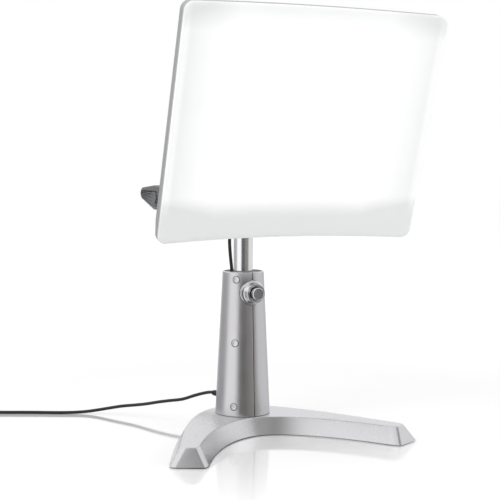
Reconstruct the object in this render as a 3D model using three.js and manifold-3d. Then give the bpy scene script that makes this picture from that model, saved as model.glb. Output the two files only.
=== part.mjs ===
// Light therapy lamp: a bowed light panel that tilts in a yoke, on a pole that slides in a
// two-part column, over a heavy horseshoe base. Millimetres, +Z up, the panel faces -Y,
// origin under the middle foot, on the pole's axis.

import * as THREE from 'three';
import { mergeVertices } from 'three/addons/utils/BufferGeometryUtils.js';
import Module from 'manifold-3d';

const wasm = await Module();
wasm.setup();

// General sizes
const clearance = 0.3;
const overrun = 2;
const weld = 0.001;
const fineSegments = 40;
const roundSegments = 24;
const smallSegments = 12;

// Base
const baseTop = 26.3;
const footProud = 1.5;
const baseFlare = 13.5;
const baseBevel = 1.3;
const baseBackReach = 54;
const baseBackHandle = 65;
const baseInnerReach = 48.8;
const baseInnerHandle = 55;
const outerTipSide = 184.8;
const outerTipAhead = 182.1;
const outerTipHandle = 150;
const outerTipHeading = 25.5;
const innerTipSide = 159.9;
const innerTipAhead = 194.5;
const innerTipHandle = 90;
const innerTipHeading = 29.7;
const baseOuterSteps = 18;
const baseInnerSteps = 14;
const baseWall = 4.5;
const baseRoof = 4;
const plateThickness = 3;
const footRadius = 9;
const middleFootRadius = 20;
const footChamfer = 0.8;
const footBossWall = 3;
const tipFootBack = 20;
const sideFootShare = 0.62;
const plateScrewShaft = 1.9;
const plateScrewHead = 3.9;
const plateScrewHeadHeight = 1.6;
const plateScrewLength = 12;
const plateScrewBoss = 5.5;
const plateScrewBehind = 44;
const plateScrewShare = 0.42;
const postRadius = 28;
const postRoof = 3;

// Column
const columnFootRadius = 42.6;
const columnMouthRadius = 32.2;
const columnTop = 248;
const columnWall = 3;
const mouthBevel = 1.2;
const guideRadius = 18;
const guideBore = 16.6;
const guideFloor = 8;
const sleeveFlange = 2.5;
const mouthRecess = 1.5;
const topBushHeight = 15.5;
const topBushBody = 26;
const topBushLip = 3;
const capRadius = 5.5;
const capThickness = 1.8;
const capLip = 0.6;
const capTurn = 45;
const capAboveFoot = 15.2;
const capBelowMouth = 11;
const shellScrewShaft = 2;
const shellScrewHead = 4;
const shellScrewHeadHeight = 2.6;
const shellScrewBite = 6;
const screwPostWall = 1.5;

// Pole and its lead
const poleRadius = 14.9;
const poleWall = 2;
const poleTravel = 160;
const poleAbovePivot = 11.8;
const runningGap = 0.4;
const bottomBushFlange = 2;
const bottomBushSpigot = 14;
const leadRadius = 2.35;
const leadBack = 20;
const leadSide = 9.3;
const leadLean = 3.7;
const leadLeanShare = 0.53;
const leadEnd = 60;
const leadSides = 8;
const leadSteps = 24;
const glandRadius = 5;
const glandLength = 9;

// Height lock
const lockBelowMouth = 31.2;
const flangeRadius = 19.3;
const flangeFront = 35;
const flangeBack = 25.5;
const flangeBevel = 0.9;
const coneRadius = 14.6;
const coneFront = 44.5;
const ringFront = 46.5;
const ringWidth = 1.2;
const stepDepth = 1.2;
const stepRadius = 11;
const lockBore = 10.4;
const lockFloor = 3;
const cupWall = 2.9;
const cupLedge = 1.8;
const cupFloor = 3.5;
const buttonRadius = 9.4;
const buttonFront = 54;
const buttonBack = 41;
const buttonBevel = 0.8;
const buttonRim = 1.5;
const buttonDish = 0.7;
const buttonTravel = 3;
const stemRadius = 4;
const stemHold = 9;
const sliderBand = 3.3;
const sliderHeight = 4;
const sliderRoom = 2;
const springRadius = 7;
const springWire = 1.2;

// Yoke
const pivotAhead = 126.5;
const pivotHeight = 368.2;
const armHeight = 34;
const barHeight = 24;
const washerRoom = 4;
const armThickness = 8;
const armBackReach = 38;
const crossThickness = 9;
const hubRadius = 26;
const hubBelow = 28;
const hubRoof = 6;
const setScrewRadius = 3;
const setScrewLength = 9;
const yokeSteps = 16;
const crossSideShare = 0.7;
const crossHubShare = 0.66;

// Clamp levers
const leverHubRadius = 17;
const leverWidth = 14.5;
const leverReach = 53;
const leverRise = 4.5;
const leverTipRadius = 8.5;
const leverTipWidth = 12.6;
const leverCapRadius = 8;
const leverCapProud = 1.5;
const boltRadius = 4;
const boltHeadRadius = 7.5;
const boltHeadThickness = 5;
const washerRadius = 15;

// Panel
const panelWidth = 409.8;
const panelHeight = 335.9;
const panelTilt = 16.75;
const bowDepth = 18.7;
const panelCorner = 14;
const coverDepth = 6.2;
const coverEdge = 1.3;
const coverFace = 2.2;
const coverRim = 3;
const housingInset = 0.5;
const panelDepth = 20.3;
const housingWall = 2.4;
const rearEdge = 3.5;
const lowerTaper = 30;
const lowerTaperDepth = 7;
const bulgeSideInset = 30.9;
const bulgeTopInset = 47.95;
const bulgeBottomInset = 27.95;
const bulgeDepth = 70;
const bulgeCorner = 12;
const bulgeEdge = 7;
const pivotAboveBulgeFoot = 27;
const pivotFromBack = 27;
const cornerSteps = 4;
const sideSteps = 12;
const ventWidth = 3;
const ventHeight = 26;
const ventPitch = 11;
const ventCount = 12;
const ventFromEdge = 28;
const coverScrewIn = 15;
const coverScrewFromEdge = 49.95;
const coverScrewShaft = 1.6;
const coverScrewHead = 3.4;
const coverScrewHeadHeight = 2;
const coverPost = 4;

// Inside the panel
const traySideRoom = 1.6;
const trayTopRoom = 4.6;
const trayBallastRoom = 2.1;
const trayBehind = 17.6;
const trayMouthRoom = 2.9;
const trayMouthDrop = 6;
const trayMouthDepth = 8;
const trayKneeOut = 1.2;
const traySheet = 1.2;
const trayCorner = 10;
const trayPostRadius = 5;
const trayPostSideShare = 0.53;
const trayPostUpShare = 0.46;
const lampPitchShare = 0.357;
const lampTube = 8.75;
const lampTubeApart = 21;
const lampEndRoom = 0.9;
const lampBehind = 13;
const lampBaseLength = 22;
const lampBaseHeight = 43;
const lampBaseDepth = 22;
const lampBridge = 5;
const holderLength = 17;
const holderHeight = 46;
const ballastSideRoom = 24;
const ballastHeight = 27;
const ballastDepth = 27;

// Switch
const switchFromSide = 49;
const switchFromFoot = 78;
const switchHalfWidth = 7.5;
const switchHalfHeight = 10.5;
const switchWall = 1.2;
const switchBezel = 2.5;
const switchBezelProud = 1.6;
const switchBody = 11;
const switchFloor = 2;
const switchTilt = 8;
const rockerAxisDepth = 3;
const rockerHalfHeight = 9.5;
const rockerProud = 0.4;
const rockerRise = 1;
const rockerSkirt = 0.8;
const rockerFoot = 5;
const rockerFootHalfHeight = 4;

// Power cord, coil and plug
const cordRadius = 2.6;
const cordSides = 8;
const cordStepsPerRun = 3;
const reliefHeight = 47.5;
const reliefTurn = 19.3;
const reliefLength = 24;
const reliefRadius = 6.3;
const reliefTipRadius = 3.9;
const reliefCollar = 7.6;
const reliefCollarProud = 1.6;
const coilRadius = 38.7;
const coilPitch = 5.8;
const coilTurnsIn = 3.25;
const coilTurnsBack = 0.5;
const coilTurnsOut = 3.5;
const coilSteps = 24;
const coilSides = 6;
const coilTail = 26;
const coilHeading = 150.6;
const coilStart = [-368, 295];
const plugLength = 30;
const plugHalfWidth = 12.5;
const plugHalfThickness = 8.2;
const plugNeckLength = 16;
const plugNeckRadius = 4.2;
const plugShoulder = 5;
const plugCorner = 4;
const plugFaceInset = 1.5;
const bladeRoot = 6;
const bladeLength = 17;
const bladeWidth = 6.3;
const bladeThickness = 1.5;
const bladeApart = 12.7;

// The free cord's way from the strain relief to the coil, in millimetres
const cordRoute = [
  [-30.5, 78, 44.8],
  [-42, 91, 39.4],
  [-57, 105, 32.1],
  [-74, 119, 28.6],
  [-88, 131, 25.4],
  [-104, 145, 21],
  [-118, 161, 17.3],
  [-134, 176, 14.2],
  [-151, 187, 10.6],
  [-167, 197.5, 6.9],
  [-185, 206, 4],
  [-205, 213, 2.9],
  [-222, 220.5, 2.6],
  [-240, 229, 2.6],
  [-262, 241, 2.6],
  [-290, 254, 2.6],
  [-320, 268.5, 2.6],
  [-345, 282, 2.6],
];

// Finishes
const finish = (color, roughness, metalness) =>
  new THREE.MeshStandardMaterial({ color, roughness, metalness });
const silverPaint = finish(0xbcbcc0, 0.42, 0.35);
const basePaint = finish(0xc6c7cc, 0.4, 0.35);
const steel = finish(0x9a9ca0, 0.35, 0.9);
const chrome = finish(0xe2e4e8, 0.08, 1);
const darkPlastic = finish(0x4b4c50, 0.55, 0);
const greyPlastic = finish(0xa6a8ac, 0.5, 0);
const blackPlastic = finish(0x242527, 0.5, 0);
const blackRubber = finish(0x1f2022, 0.85, 0);
const opal = finish(0xf6f6f4, 0.35, 0);
const white = finish(0xf0f1f2, 0.4, 0);
const glass = finish(0xfafafa, 0.15, 0);
const brass = finish(0xc9a45c, 0.3, 0.9);

// Directions
const along = (x, y, z) => new THREE.Vector3(x, y, z).normalize();
const right = along(1, 0, 0);
const left = along(-1, 0, 0);
const front = along(0, -1, 0);
const back = along(0, 1, 0);
const up = along(0, 0, 1);
const degrees = (angle) => THREE.MathUtils.degToRad(angle);
const place = (x, y, z) => new THREE.Vector3(x, y, z);

// A closed mesh as a solid, with its faces turned outwards
function toSolid(geometry) {
  const bare = geometry.clone();
  bare.deleteAttribute('normal');
  bare.deleteAttribute('uv');
  const merged = mergeVertices(bare, weld);
  const faces = [];
  for (let i = 0; i < merged.index.count; i += 3) {
    const [a, b, c] = [0, 1, 2].map((k) => merged.index.getX(i + k));
    if (a !== b && b !== c && c !== a) faces.push(a, b, c);
  }
  const corners = merged.attributes.position;
  const [a, b, c] = [0, 1, 2].map(() => new THREE.Vector3());
  let volume = 0;
  for (let i = 0; i < faces.length; i += 3) {
    a.fromBufferAttribute(corners, faces[i]);
    b.fromBufferAttribute(corners, faces[i + 1]);
    c.fromBufferAttribute(corners, faces[i + 2]);
    volume += a.dot(b.cross(c));
  }
  if (volume < 0) faces.reverse();
  return new wasm.Manifold(new wasm.Mesh({
    numProp: 3,
    vertProperties: new Float32Array(corners.array),
    triVerts: new Uint32Array(faces),
  }));
}

// A solid as a mesh with flat shading
function toGeometry(solid) {
  const { vertProperties, triVerts } = solid.getMesh();
  const geometry = new THREE.BufferGeometry();
  geometry.setAttribute('position', new THREE.BufferAttribute(new Float32Array(vertProperties), 3));
  geometry.setIndex(new THREE.BufferAttribute(new Uint32Array(triVerts), 1));
  const flat = geometry.toNonIndexed();
  flat.computeVertexNormals();
  return flat;
}

const join = (first, ...others) => others.reduce((whole, next) => whole.add(next), first);
const cut = (first, ...others) => others.reduce((rest, next) => rest.subtract(next), first);

// A turned solid: its profile is pairs of radius and height along the direction from the origin
function turned(profile, origin, direction, segments = roundSegments) {
  const points = profile.map(([radius, height]) => new THREE.Vector2(radius, height));
  const geometry = new THREE.LatheGeometry(points, segments);
  geometry.applyQuaternion(new THREE.Quaternion().setFromUnitVectors(back, direction));
  geometry.translate(origin.x, origin.y, origin.z);
  return toSolid(geometry);
}

const rod = (radius, length, origin, direction, segments) =>
  turned([[0, 0], [radius, 0], [radius, length], [0, length]], origin, direction, segments);

const sleeve = (outer, inner, length, origin, direction, segments) =>
  turned([[inner, 0], [outer, 0], [outer, length], [inner, length], [inner, 0]],
    origin, direction, segments);

// A block between two corners
function block(x0, x1, y0, y1, z0, z1) {
  const geometry = new THREE.BoxGeometry(x1 - x0, y1 - y0, z1 - z0);
  geometry.translate((x0 + x1) / 2, (y0 + y1) / 2, (z0 + z1) / 2);
  return toSolid(geometry);
}

// A solid through rings of equally many points, closed by the same cap at both ends
function loft(rings, cap) {
  const count = rings[0].length;
  const positions = rings.flat().flatMap((point) => [point.x, point.y, point.z]);
  const faces = [];
  for (let ring = 0; ring < rings.length - 1; ring += 1) {
    for (let i = 0; i < count; i += 1) {
      const j = (i + 1) % count;
      const near = ring * count;
      const far = near + count;
      faces.push(near + j, near + i, far + i, near + j, far + i, far + j);
    }
  }
  const last = (rings.length - 1) * count;
  cap.forEach(([a, b, c]) => faces.push(a, b, c, last + c, last + b, last + a));
  const geometry = new THREE.BufferGeometry();
  geometry.setAttribute('position', new THREE.Float32BufferAttribute(positions, 3));
  geometry.setIndex(faces);
  return toSolid(geometry);
}

const fanCap = (count) => Array.from({ length: count - 2 }, (_, i) => [0, i + 1, i + 2]);

// A tube along points, with a round section of few sides
function tube(points, radius, sides, steps) {
  const path = new THREE.CatmullRomCurve3(points, false, 'centripetal');
  return tubeOn(path, radius, sides, steps);
}

function tubeOn(path, radius, sides, steps) {
  const section = new THREE.Shape();
  section.absarc(0, 0, radius, 0, 2 * Math.PI);
  const geometry = new THREE.ExtrudeGeometry(section, {
    extrudePath: path,
    steps,
    curveSegments: sides / 2,
    bevelEnabled: false,
  });
  return toSolid(geometry);
}

// A flat outline in the plane of two directions, thickened along the third
function extruded(outline, thickness, across, upward, origin) {
  const shape = new THREE.Shape(outline.map(([x, y]) => new THREE.Vector2(x, y)));
  const geometry = new THREE.ExtrudeGeometry(shape, { depth: thickness, bevelEnabled: false });
  const normal = new THREE.Vector3().crossVectors(across, upward);
  geometry.applyMatrix4(new THREE.Matrix4().makeBasis(across, upward, normal));
  geometry.translate(origin.x, origin.y, origin.z);
  return toSolid(geometry);
}

// An arc of points round a centre, from one angle to another
function arc(x, y, radius, from, to, steps) {
  return Array.from({ length: steps + 1 }, (_, i) => {
    const angle = degrees(from + ((to - from) * i) / steps);
    return [x + radius * Math.cos(angle), y + radius * Math.sin(angle)];
  });
}

function addPiece(group, name, solid, material) {
  const mesh = new THREE.Mesh(toGeometry(solid), material);
  mesh.name = name;
  group.add(mesh);
}

const part = new THREE.Group();
part.name = 'light_therapy_lamp';
const pole = new THREE.Group();
const head = new THREE.Group();
head.rotation.x = degrees(panelTilt);
part.add(pole);
pole.add(head);

// Outline of the base's top, its right half from the back apex round the tip to the front apex
function baseOutline() {
  const outerTip = new THREE.Vector2(outerTipSide, -outerTipAhead);
  const innerTip = new THREE.Vector2(innerTipSide, -innerTipAhead);
  const heading = (angle, length) =>
    new THREE.Vector2(Math.sin(degrees(angle)), -Math.cos(degrees(angle))).multiplyScalar(length);
  const outer = new THREE.CubicBezierCurve(
    new THREE.Vector2(0, baseBackReach),
    new THREE.Vector2(baseBackHandle, baseBackReach),
    outerTip.clone().sub(heading(outerTipHeading, outerTipHandle)),
    outerTip,
  ).getPoints(baseOuterSteps);
  const inner = new THREE.CubicBezierCurve(
    innerTip,
    innerTip.clone().sub(heading(innerTipHeading, innerTipHandle)),
    new THREE.Vector2(baseInnerHandle, -baseInnerReach),
    new THREE.Vector2(0, -baseInnerReach),
  ).getPoints(baseInnerSteps);
  const rightHalf = [...outer, ...inner];
  const leftHalf = rightHalf.slice(1, -1).reverse().map((point) => new THREE.Vector2(-point.x, point.y));
  return [...rightHalf, ...leftHalf].reverse();
}

// The outline moved outwards by a distance, corner for corner
function grown(outline, distance) {
  const count = outline.length;
  return outline.map((point, i) => {
    const before = point.clone().sub(outline[(i + count - 1) % count]).normalize();
    const after = outline[(i + 1) % count].clone().sub(point).normalize();
    const normalBefore = new THREE.Vector2(before.y, -before.x);
    const normalAfter = new THREE.Vector2(after.y, -after.x);
    const reach = distance / (1 + normalBefore.dot(normalAfter));
    return point.clone().add(normalBefore.add(normalAfter).multiplyScalar(reach));
  });
}

const topOutline = baseOutline();
const baseCap = THREE.ShapeUtils.triangulateShape(topOutline, []);
const baseSlope = baseFlare / (baseTop - baseBevel - footProud);
const baseFlareAt = (z) => (baseTop - baseBevel - z) * baseSlope;
const baseRing = (z, growth) =>
  grown(topOutline, growth).map((point) => place(point.x, point.y, z));
const baseSlab = (levels) => loft(levels.map(([z, growth]) => baseRing(z, growth)), baseCap);

// Places on the underside, each the middle between the two edges at a share of their length
const outerEdge = topOutline.slice().reverse().slice(0, baseOuterSteps + 1);
const innerEdge = topOutline.slice().reverse()
  .slice(baseOuterSteps + 1, baseOuterSteps + baseInnerSteps + 2).reverse();
function betweenEdges(share) {
  const outer = outerEdge[Math.round(share * baseOuterSteps)];
  const inner = innerEdge[Math.round(share * baseInnerSteps)];
  return outer.clone().add(inner).divideScalar(2);
}
const tipMiddle = betweenEdges(1);
const tipBack = betweenEdges(1 - 1 / baseInnerSteps).sub(tipMiddle).normalize();
const tipFoot = tipMiddle.clone().add(tipBack.multiplyScalar(tipFootBack));
const sideFoot = betweenEdges(sideFootShare);
const sideScrew = betweenEdges(plateScrewShare);
const footPlaces = [
  [tipFoot.x, tipFoot.y, footRadius],
  [-tipFoot.x, tipFoot.y, footRadius],
  [sideFoot.x, sideFoot.y, footRadius],
  [-sideFoot.x, sideFoot.y, footRadius],
  [0, 0, middleFootRadius],
];
const screwPlaces = [
  [sideScrew.x, sideScrew.y],
  [-sideScrew.x, sideScrew.y],
  [0, plateScrewBehind],
];
const plateTop = footProud + plateThickness;
const bossFoot = plateTop + clearance;
const columnFoot = baseTop + clearance;
const lowCap = columnFoot + capAboveFoot;
const highCap = columnTop - capBelowMouth;
const capHeights = [lowCap, (lowCap + highCap) / 2, highCap];
const postTop = lowCap + shellScrewShaft + clearance + postRoof;

function makeBase() {
  const body = baseSlab([
    [footProud, baseFlare],
    [baseTop - baseBevel, 0],
    [baseTop, -baseBevel],
  ]);
  const roof = baseTop - baseRoof;
  const hollow = baseSlab([
    [footProud - overrun, baseFlareAt(footProud - overrun) - baseWall],
    [roof, baseFlareAt(roof) - baseWall],
  ]);
  const bosses = footPlaces.map(([x, y, radius]) =>
    rod(radius + footBossWall, roof + overrun - bossFoot, place(x, y, bossFoot), up, smallSegments));
  const screwBosses = screwPlaces.map(([x, y]) =>
    rod(plateScrewBoss, roof + overrun - bossFoot, place(x, y, bossFoot), up, smallSegments));
  const post = rod(postRadius, postTop - bossFoot, place(0, 0, bossFoot), up, roundSegments);
  const postBore = rod(guideRadius + clearance, postTop + overrun - guideFloor,
    place(0, 0, guideFloor), up, roundSegments);
  const threads = screwPlaces.map(([x, y]) =>
    rod(plateScrewShaft + clearance, plateScrewLength, place(x, y, footProud), up, smallSegments));
  const solid = join(cut(body, hollow), ...bosses, ...screwBosses, post);
  const bite = rod(shellScrewShaft + clearance, shellScrewBite + overrun,
    shellScrews[0].seat.clone().addScaledVector(screwAside, overrun), inward, smallSegments);
  return cut(solid, postBore, bite, ...threads);
}

function makeBasePlate() {
  const growth = baseFlareAt(plateTop) - baseWall - clearance;
  const sheet = baseSlab([[footProud, growth], [plateTop, growth]]);
  const feet = footPlaces.map(([x, y, radius]) =>
    rod(radius + clearance, plateThickness + 2 * overrun, place(x, y, footProud - overrun), up));
  const holes = screwPlaces.map(([x, y]) =>
    rod(plateScrewShaft + clearance, plateThickness + 2 * overrun,
      place(x, y, footProud - overrun), up, smallSegments));
  const sinks = screwPlaces.map(([x, y]) =>
    rod(plateScrewHead + clearance, plateScrewHeadHeight + clearance + overrun,
      place(x, y, footProud - overrun), up, smallSegments));
  return cut(sheet, ...feet, ...holes, ...sinks);
}

const makeFoot = ([x, y, radius]) => turned([
  [0, 0],
  [radius - footChamfer, 0],
  [radius, footChamfer],
  [radius, plateTop],
  [0, plateTop],
], place(x, y, 0), up, roundSegments);

const makePlateScrew = ([x, y]) => turned([
  [0, 0],
  [plateScrewHead, 0],
  [plateScrewHead, plateScrewHeadHeight],
  [plateScrewShaft, plateScrewHeadHeight],
  [plateScrewShaft, plateScrewLength - clearance],
  [0, plateScrewLength - clearance],
], place(x, y, footProud), up, smallSegments);

// Column: a cone in two halves, screwed to the post, the guide tube and the top bush
const cupFrom = flangeBack - clearance - cupFloor;
const reliefWay = along(-Math.sin(degrees(reliefTurn)), Math.cos(degrees(reliefTurn)), 0);
const columnTaper = (columnFootRadius - columnMouthRadius) / (columnTop - columnFoot);
const columnRadius = (z) => columnFootRadius - (z - columnFoot) * columnTaper;
const topBushTop = columnTop - mouthRecess;
const topBushFoot = topBushTop - topBushHeight;
const screwAside = along(-Math.sin(degrees(capTurn)), -Math.cos(degrees(capTurn)), 0);
const screwSeats = [postRadius, guideRadius, topBushBody];
const screwBites = [shellScrewBite, guideRadius - guideBore, shellScrewBite];
const shellScrews = capHeights.map((height, i) => ({
  outside: screwAside.clone().multiplyScalar(columnRadius(height)).setZ(height),
  seat: screwAside.clone().multiplyScalar(screwSeats[i]).setZ(height),
  bite: screwBites[i],
  headSeat: columnRadius(height) - capThickness - shellScrewHeadHeight - 2 * clearance,
}));
const inward = screwAside.clone().negate();

// A cone inside or outside the column, drawn in by a distance, over a range of heights
function columnCone(from, to, inwards) {
  return turned([
    [0, from],
    [columnRadius(from) - inwards, from],
    [columnRadius(to) - inwards, to],
    [0, to],
  ], place(0, 0, 0), up, fineSegments);
}

// The round post in a shell behind each cap, and the bore for its cap, screw head and shaft
function screwPost({ outside, seat }) {
  const start = seat.clone().addScaledVector(screwAside, clearance);
  const radius = capRadius + clearance + screwPostWall;
  return rod(radius, start.distanceTo(outside), start, screwAside, roundSegments);
}

function screwBore({ outside, headSeat }) {
  const start = screwAside.clone().multiplyScalar(headSeat).setZ(outside.z);
  const depth = start.distanceTo(outside) + overrun;
  const bore = rod(capRadius + clearance, depth, start, screwAside, roundSegments);
  const axis = place(0, 0, outside.z);
  const shaft = rod(shellScrewShaft + clearance, headSeat + overrun, axis, screwAside, smallSegments);
  return join(bore, shaft);
}

// Height lock: everything is turned about a level axis that comes forward out of the column
const lockHeight = columnTop - lockBelowMouth;
const lockAxis = place(0, 0, lockHeight);
const lockTurned = (profile, segments) => turned(profile, lockAxis, front, segments);

function makeShells() {
  const outside = join(
    columnCone(columnFoot, columnTop - mouthBevel, 0),
    turned([
      [0, columnTop - mouthBevel],
      [columnRadius(columnTop - mouthBevel), columnTop - mouthBevel],
      [columnRadius(columnTop) - mouthBevel, columnTop],
      [0, columnTop],
    ], place(0, 0, 0), up, fineSegments),
  );
  const inside = columnCone(columnFoot - overrun, columnTop + overrun, columnWall);
  const cup = rod(flangeRadius + clearance + cupWall, columnFootRadius, place(0, -cupFrom, lockHeight),
    front, fineSegments).intersect(outside);
  const posts = shellScrews.map((screw) => screwPost(screw).intersect(outside));
  const seat = lockTurned([
    [0, flangeBack - clearance],
    [flangeRadius + clearance, flangeBack - clearance],
    [flangeRadius + clearance, columnFootRadius + overrun],
    [0, columnFootRadius + overrun],
  ], fineSegments);
  const throat = rod(flangeRadius - cupLedge, columnFootRadius, lockAxis, front, fineSegments);
  const grommet = rod(reliefRadius + clearance, columnFootRadius + overrun, place(0, 0, reliefHeight),
    reliefWay, roundSegments);
  const bores = shellScrews.map(screwBore);
  const reach = columnFootRadius + overrun;
  const halves = [[-reach, -clearance / 2], [clearance / 2, reach]].map(([x0, x1]) =>
    block(x0, x1, -reach, reach, columnFoot - overrun, columnTop + overrun));
  const wall = cut(join(cut(outside, inside), cup), seat, throat);
  const leftHalf = cut(join(wall, ...posts), grommet, ...bores).intersect(halves[0]);
  return [leftHalf, wall.intersect(halves[1])];
}

const guideTop = lockHeight - sliderHeight / 2 - sliderRoom - sleeveFlange - clearance;

function makeGuideTube() {
  const foot = guideFloor + clearance;
  const wall = sleeve(guideRadius, guideBore, guideTop - foot, place(0, 0, foot), up, fineSegments);
  const bite = rod(shellScrewShaft + clearance, guideRadius, shellScrews[1].seat.clone()
    .addScaledVector(screwAside, overrun), inward, smallSegments);
  return cut(wall, bite);
}

// The pole's foot runs in the guide tube and stops under the guide sleeve
const poleFoot = guideFloor + clearance;
const poleStart = poleFoot + bottomBushFlange + clearance;
const sleeveFoot = poleFoot + bottomBushFlange + poleTravel + clearance;

const makeGuideSleeve = () => turned([
  [poleRadius + runningGap, sleeveFoot],
  [guideBore - clearance, sleeveFoot],
  [guideBore - clearance, guideTop + clearance],
  [guideRadius, guideTop + clearance],
  [guideRadius, guideTop + clearance + sleeveFlange],
  [poleRadius + runningGap, guideTop + clearance + sleeveFlange],
  [poleRadius + runningGap, sleeveFoot],
], place(0, 0, 0), up, fineSegments);

function makeTopBush() {
  const bore = poleRadius + runningGap;
  const lipFoot = topBushTop - topBushLip;
  const lipRadius = columnRadius(topBushTop) - columnWall - clearance;
  const body = turned([
    [bore, topBushFoot],
    [topBushBody, topBushFoot],
    [topBushBody, lipFoot],
    [lipRadius, lipFoot],
    [lipRadius, topBushTop],
    [bore, topBushTop],
    [bore, topBushFoot],
  ], place(0, 0, 0), up, fineSegments);
  const leadHole = rod(leadRadius + 2 * clearance, topBushHeight + 2 * overrun,
    place(-leadSide, leadBack, topBushFoot - overrun), up, smallSegments);
  const topScrew = shellScrews[2];
  const postRoom = rod(capRadius + 2 * clearance + screwPostWall, columnFootRadius,
    topScrew.seat, screwAside, roundSegments);
  const bite = rod(shellScrewShaft + clearance, shellScrewBite + overrun,
    topScrew.seat.clone().addScaledVector(screwAside, overrun), inward, smallSegments);
  const cupRoom = rod(flangeRadius + 2 * clearance + cupWall, columnFootRadius,
    place(0, -cupFrom + clearance, lockHeight), front, fineSegments);
  return cut(body, leadHole, postRoom, bite, cupRoom);
}

function makeShellScrew({ seat, headSeat, outside, bite }) {
  const start = screwAside.clone().multiplyScalar(headSeat + clearance).setZ(outside.z);
  const shaft = start.distanceTo(seat) + bite - clearance;
  const origin = seat.clone().addScaledVector(inward, bite - clearance);
  return turned([
    [0, 0],
    [shellScrewShaft, 0],
    [shellScrewShaft, shaft],
    [shellScrewHead, shaft],
    [shellScrewHead, shaft + shellScrewHeadHeight],
    [0, shaft + shellScrewHeadHeight],
  ], origin, screwAside, smallSegments);
}

function makeScrewCap({ outside }) {
  const origin = outside.clone().addScaledVector(inward, capThickness);
  return turned([
    [0, 0],
    [capRadius, 0],
    [capRadius, capThickness - capLip],
    [capRadius - capLip, capThickness],
    [0, capThickness],
  ], origin, screwAside, roundSegments);
}

function makeCollar() {
  return lockTurned([
    [stemRadius + clearance, flangeBack],
    [flangeRadius, flangeBack],
    [flangeRadius, flangeFront - flangeBevel],
    [flangeRadius - flangeBevel, flangeFront],
    [coneRadius + flangeBevel, flangeFront + flangeBevel],
    [coneRadius, coneFront],
    [coneRadius, ringFront],
    [coneRadius - ringWidth, ringFront],
    [coneRadius - ringWidth, ringFront - stepDepth],
    [stepRadius, ringFront - stepDepth],
    [lockBore, ringFront - 2 * stepDepth],
    [lockBore, flangeBack + lockFloor],
    [stemRadius + clearance, flangeBack + lockFloor],
    [stemRadius + clearance, flangeBack],
  ], fineSegments);
}

function makeButton() {
  return lockTurned([
    [0, buttonFront - buttonBevel - buttonDish],
    [buttonRadius - buttonRim, buttonFront - buttonBevel - buttonDish],
    [buttonRadius - buttonRim, buttonFront],
    [buttonRadius - buttonBevel, buttonFront],
    [buttonRadius, buttonFront - buttonBevel],
    [buttonRadius, buttonBack],
    [stemRadius + clearance, buttonBack],
    [stemRadius + clearance, buttonBack + stemHold],
    [0, buttonBack + stemHold],
  ], fineSegments);
}

// The brake plate goes round the pole; its spring draws its back edge against the pole
function makeSlider() {
  const bore = poleRadius + runningGap;
  const stadium = (radius) => [
    ...arc(0, 0, radius, 0, 180, roundSegments / 2),
    ...arc(0, -buttonTravel, radius, 180, 360, roundSegments / 2),
  ];
  const plateFoot = lockHeight - sliderHeight / 2;
  const plate = extruded(stadium(bore + sliderBand), sliderHeight, right, back, place(0, 0, plateFoot));
  const opening = extruded(stadium(bore), sliderHeight + 2 * overrun, right, back,
    place(0, 0, plateFoot - overrun));
  const notch = rod(leadRadius + 2 * clearance, sliderHeight + 2 * overrun,
    place(-leadSide, leadBack - buttonTravel, plateFoot - overrun), up, smallSegments);
  const stemStart = bore + buttonTravel + sliderBand / 2;
  const stem = rod(stemRadius, buttonBack + stemHold - clearance - stemStart,
    place(0, -stemStart, lockHeight), front, smallSegments);
  return cut(join(plate, stem), opening, notch);
}

const makeLockSpring = () => sleeve(springRadius, springRadius - springWire,
  buttonBack - flangeBack - lockFloor - 2 * clearance,
  place(0, -flangeBack - lockFloor - clearance, lockHeight), front, roundSegments);

// Strain relief: a grommet in the column's wall with a tapered sleeve behind it
const reliefTip = columnRadius(reliefHeight) + reliefLength;

function makeStrainRelief() {
  const wallInside = columnRadius(reliefHeight + reliefCollar) - columnWall;
  const innerFace = Math.sqrt(wallInside ** 2 - reliefCollar ** 2) - clearance;
  const outerFace = columnRadius(reliefHeight - reliefCollar) + clearance;
  return turned([
    [0, innerFace - reliefCollarProud],
    [reliefCollar, innerFace - reliefCollarProud],
    [reliefCollar, innerFace],
    [reliefRadius, innerFace],
    [reliefRadius, outerFace],
    [reliefCollar, outerFace],
    [reliefCollar, outerFace + reliefCollarProud],
    [reliefRadius, outerFace + reliefCollarProud],
    [reliefTipRadius, reliefTip],
    [0, reliefTip],
  ], place(0, 0, reliefHeight), reliefWay, roundSegments);
}

// Pole
const poleTop = pivotHeight + poleAbovePivot;
const makePole = () => sleeve(poleRadius, poleRadius - poleWall, poleTop - poleStart,
  place(0, 0, poleStart), up, fineSegments);

const makePoleFoot = () => turned([
  [0, poleFoot],
  [guideBore - runningGap, poleFoot],
  [guideBore - runningGap, poleFoot + bottomBushFlange],
  [poleRadius - poleWall - clearance, poleFoot + bottomBushFlange],
  [poleRadius - poleWall - clearance, poleStart + bottomBushSpigot],
  [0, poleStart + bottomBushSpigot],
], place(0, 0, 0), up, fineSegments);

// Yoke: two arms beside the panel's back, a bar that curves back to a hub on the pole
const hubFoot = pivotHeight - hubBelow;
const glandFoot = hubFoot - clearance - glandLength;
const leadTopSide = leadSide + leadLean;
const leadLeanEnd = columnTop + leadLeanShare * (glandFoot - columnTop);
const bulgeHalfWidth = panelWidth / 2 - bulgeSideInset;
const armInside = bulgeHalfWidth + washerRoom;

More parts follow.
